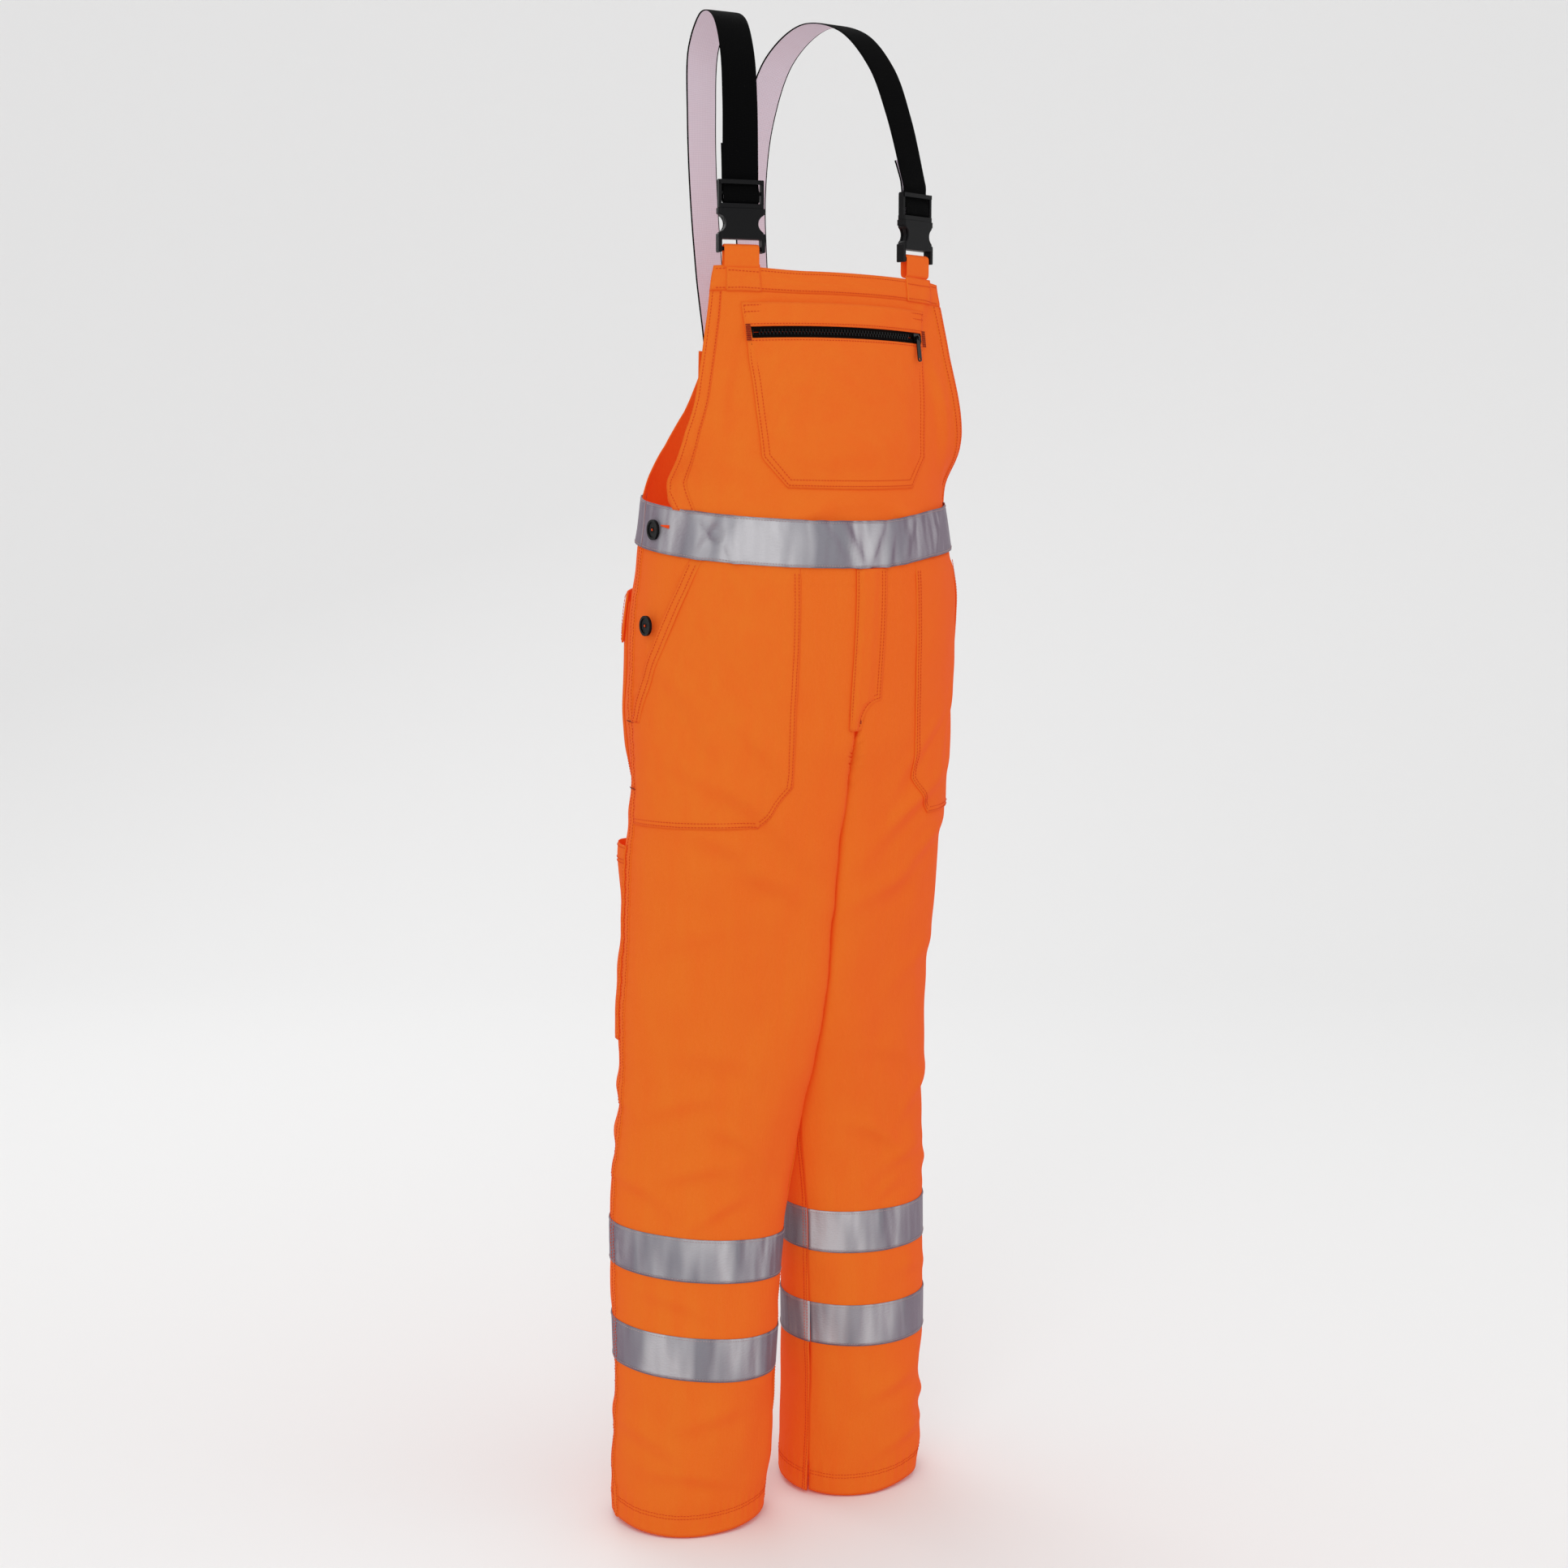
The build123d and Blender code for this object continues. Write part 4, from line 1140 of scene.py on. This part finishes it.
def smooth_path(points, count):
    """Centripetal spline through the points."""
    points = np.asarray(points, float)
    ends = np.vstack([2 * points[0] - points[1], points, 2 * points[-1] - points[-2]])
    knots = np.concatenate([[0], np.cumsum(np.linalg.norm(np.diff(ends, axis=0), axis=1) ** 0.5)])
    out = []
    for s in np.linspace(knots[1], knots[-2], count):
        i = int(np.clip(np.searchsorted(knots, s, "right") - 1, 1, len(ends) - 3))
        p, k = ends[i - 1 : i + 3], knots[i - 1 : i + 3]
        a = [p[j] + (p[j + 1] - p[j]) * (s - k[j]) / (k[j + 1] - k[j]) for j in range(3)]
        b = [a[j] + (a[j + 1] - a[j]) * (s - k[j]) / (k[j + 2] - k[j]) for j in range(2)]
        out.append(b[0] + (b[1] - b[0]) * (s - k[1]) / (k[2] - k[1]))
    return np.array(out)


def buckle_frame():
    """The right buckle: the middle of its lower bar, and the way that its face looks."""
    turn = math.radians(BUCKLE_TURN)
    centre = np.array([-BUCKLE_X, (BUCKLE_LOW[1] + BUCKLE_HIGH[1]) / 2, BUCKLE_LOW[2]])
    return centre, np.array([math.sin(turn), -math.cos(turn), 0])


def brace(side):
    """The band over the shoulder, then down behind the plug, round its bar and up along itself."""
    centre, out = buckle_frame()
    points = []
    for x, y, z in BRACE_PATH:
        if y is None:
            y = back_base(float(x), float(z))[1] + 1.3
        elif side == "left":
            x = x * LEFT_BRACE
        points.append((x, y, z))
    points.append((*(centre - out * 0.6)[:2], PLUG_TOP + 8))
    run = smooth_path(points, 150)
    foot = [(*(centre + out * gap)[:2], PLUG_TOP + rise) for gap, rise in PLUG_TURN]
    for gap, rise in BRACE_TAIL:
        foot.append(along_line(run[:99:-1], run[:99:-1, 2], PLUG_TOP + rise) - out * gap)
    foot = smooth_path([run[-1]] + foot, 60)[1:]
    path = np.vstack([run, foot])
    t = np.concatenate([np.linspace(0, 1, len(run)) ** 2, np.ones(len(foot))])
    turn = np.radians(ANCHOR_TURN + (BUCKLE_TURN - ANCHOR_TURN) * t)
    flat = np.stack([np.cos(turn), np.sin(turn), 0 * turn], -1)
    ups = -np.cross(flat, unit(np.gradient(path, axis=0)))
    path, ups = placed(path, side), placed(ups, side)
    obj = tube(f"{side}_brace_band", path, ups, BRACE_HALF, BRACE_THICK / 2, ELASTIC, ELASTIC_INNER,
               slot="elastic_band", replaces=f"{side}_brace", body=None)
    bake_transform(obj)


def buckles(side):
    for node in ("buckle_socket", "buckle_plug", "outer_prong", "inner_prong"):
        finish_cad(f"{side}_{node}", PLASTIC, 0.7 if "buckle" in node else 0.5)
    centre, out = buckle_frame()
    middle = centre - (0, 0, 4.0)
    loop = []
    for a in np.linspace(0, 2 * math.pi, 28):
        rise = 8.5 * (1 if math.cos(a) > 0 else -1) + 4 * math.cos(a)
        loop.append(middle + out * (math.sin(a) * 4.2) + (0, 0, rise))
    path = smooth_path(loop, 60)
    ups = placed((path - middle) * (1, 1, 0.3), side)
    tube(f"{side}_buckle_tab_loop", placed(path, side), ups, TAB_HALF, 0.65, ORANGE, slot="orange_cloth",
         replaces=f"{side}_buckle_tab")
    x = BUCKLE_X if side == "left" else -BUCKLE_X
    low, high = BIB_TOP - BIB_TURN, BIB_TOP + 3
    grid = panel(x - TAB_HALF, x + TAB_HALF, climb(low, high, 3), 14)
    sheet(f"{side}_buckle_tab_patch", bib_base, grid, 2.0, thick=1.0)
    rows = threads(bib_base, 2.3, [pairs((x - 18, x + 18), level) for level in (low + 3, high - 8)])
    stitches(f"{side}_buckle_tab_stitching", rows)


def anchor_patch():
    """Patch over the ends of both braces, with a sewn cross on each."""
    low, high = 1297.0, BACK_TOP - 1
    u, v = panel(-55, 55, np.linspace(low, high, 16), 60)
    over = ease(np.abs(np.abs(u) - 27), 19, 26)
    sheet("brace_anchor_cloth", back_base, (u, v), 4.4 - 2.2 * over, replaces="brace_anchor_patch")
    paths = []
    for x in (-27, 27):
        left, right, foot, top = x - 18, x + 18, low + 5, high - 5
        paths.append([(left, foot), (right, foot), (right, top), (left, top), (left, foot), (right, top)])
        paths.append([(left, top), (right, foot)])
    stitches("brace_anchor_stitching", threads(back_base, 4.6, paths))


# ---- hip buttons ----
BUTTON_RADIUS = 11.0
BUTTONHOLE = 82.0  # angle round the waist of its back end
BUTTONHOLE_RISE = 4.0


def button_face(z):
    """Distance from the middle plane of the dished face of the button at a height."""
    co = np.array([v.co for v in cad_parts["left_hip_buttons"].data.vertices]) / MM
    return co[np.abs(co[:, 2] - z) < 14][:, 0].max() - 1.0


def hip_buttons(side):
    """Thread crosses through the four holes, and the buttonhole on the band."""
    finish_cad(f"{side}_hip_buttons", BUTTON, 0.5)
    low, high = box_mm("left_hip_buttons")
    front, back = sorted((low[1] + BUTTON_RADIUS, high[1] - BUTTON_RADIUS))
    sign = -1 if side == "right" else 1
    rows = []
    for y, z in ((back, high[2] - BUTTON_RADIUS), (front, low[2] + BUTTON_RADIUS)):
        face = button_face(z)
        for dz in (-2, 2):
            path = np.array([(face, y - 2, z + dz), (face + 0.5, y, z), (face, y + 2, z - dz)])
            rows.append((path * (sign, 1, 1), np.tile([sign, 0.0, 0.0], (3, 1))))
    stitches(f"{side}_button_thread", rows, THREAD, 3.0, 1.1, 0.6, replaces=f"{side}_button_threads")
    turn = np.linspace(0, 5, 9)
    level = WAIST + BUTTONHOLE_RISE
    paths = [pairs(BUTTONHOLE - turn, level + rise * turn / 5) for rise in (-1.3, 0.0, 1.3)]
    stitches(f"{side}_buttonhole", threads(waist_base, 2.4, paths, side), BRIGHT_THREAD, 1.3, 1.1, 0.7)


# ---- studio ----
CAMERA_AZIMUTH = -33.8
CAMERA_DISTANCE = 2.8
CAMERA_HEIGHT = 1.19
CAMERA_PITCH = 6.84
CAMERA_YAW = 0.28  # degrees: the object stands a little right of the middle
FOCAL_SHARE = 3052 / 1932  # focal length over picture width
LAMPS = (  # name, place, power
    ("key", (-2.6, -3.0, 3.0), 36),
    ("fill", (2.8, -2.6, 2.0), 10),
    ("back", (0.4, 3.0, 3.2), 25),
)


def paper():
    """Floor that bends up into a wall behind the object."""
    reach, rise = 9.0, 7.0
    bend = np.linspace(0, math.pi / 2, 16)
    profile = [(-reach, 0), *zip(3.0 + 2 * np.sin(bend), 2 - 2 * np.cos(bend)), (5.0, rise)]
    vertices = [(x, y, z - 0.002) for y, z in profile for x in (-reach, reach)]
    faces = [(k, k + 1, k + 3, k + 2) for k in range(0, len(vertices) - 2, 2)]
    n = Nodes("studio_paper")
    grain = n.math("MULTIPLY", n.noise(3.0), 0.05)
    n.set(Base_Color=n.mix(grain, srgb(240, 240, 240), srgb(236, 236, 236)), Roughness=0.9)
    obj = smooth_mesh("floor", vertices, faces, n.material)
    obj.rotation_euler = (0, 0, math.radians(CAMERA_AZIMUTH))


def studio():
    scene = bpy.context.scene
    scene.view_settings.view_transform = "Standard"
    scene.world = bpy.data.worlds.new("studio")
    scene.world.use_nodes = True
    sky = scene.world.node_tree.nodes["Background"].inputs
    sky[0].default_value = (1, 1, 1, 1)
    sky[1].default_value = 0.85
    paper()
    for name, at, power in LAMPS:
        lamp = bpy.data.lights.new(name, "AREA")
        lamp.size = 2.6
        lamp.energy = power
        obj = in_scene(name, lamp)
        obj.location = at
        x, y, z = np.array([0, 0, 0.9]) - at
        obj.rotation_euler = (math.atan2(math.hypot(x, y), -z), 0, math.atan2(y, x) - math.pi / 2)


def camera():
    lens = bpy.data.cameras.new("camera")
    lens.sensor_width = 36.0
    lens.lens = 36.0 * FOCAL_SHARE
    obj = in_scene("camera", lens)
    a = math.radians(CAMERA_AZIMUTH)
    obj.location = (CAMERA_DISTANCE * math.sin(a), -CAMERA_DISTANCE * math.cos(a), CAMERA_HEIGHT)
    obj.rotation_euler = (math.radians(90 - CAMERA_PITCH), 0, math.radians(CAMERA_AZIMUTH + CAMERA_YAW))
    bpy.context.scene.camera = obj


for side in SIDES:
    leg_panels(side)
    inner_layers(side)
    seam_strips(side)
    leg_stitching(side)
    leg_bands(side)
    hip_pocket(side)
    back_pocket(side)
    back_flap(side)
    brace(side)
    buckles(side)
    hip_buttons(side)
waist_bands()
waist_inside()
bib_sheets()
bib_pocket()
zips()
back_sheets()
anchor_patch()
rule_pocket()
fly_flap()
fly_inside()
studio()
camera()
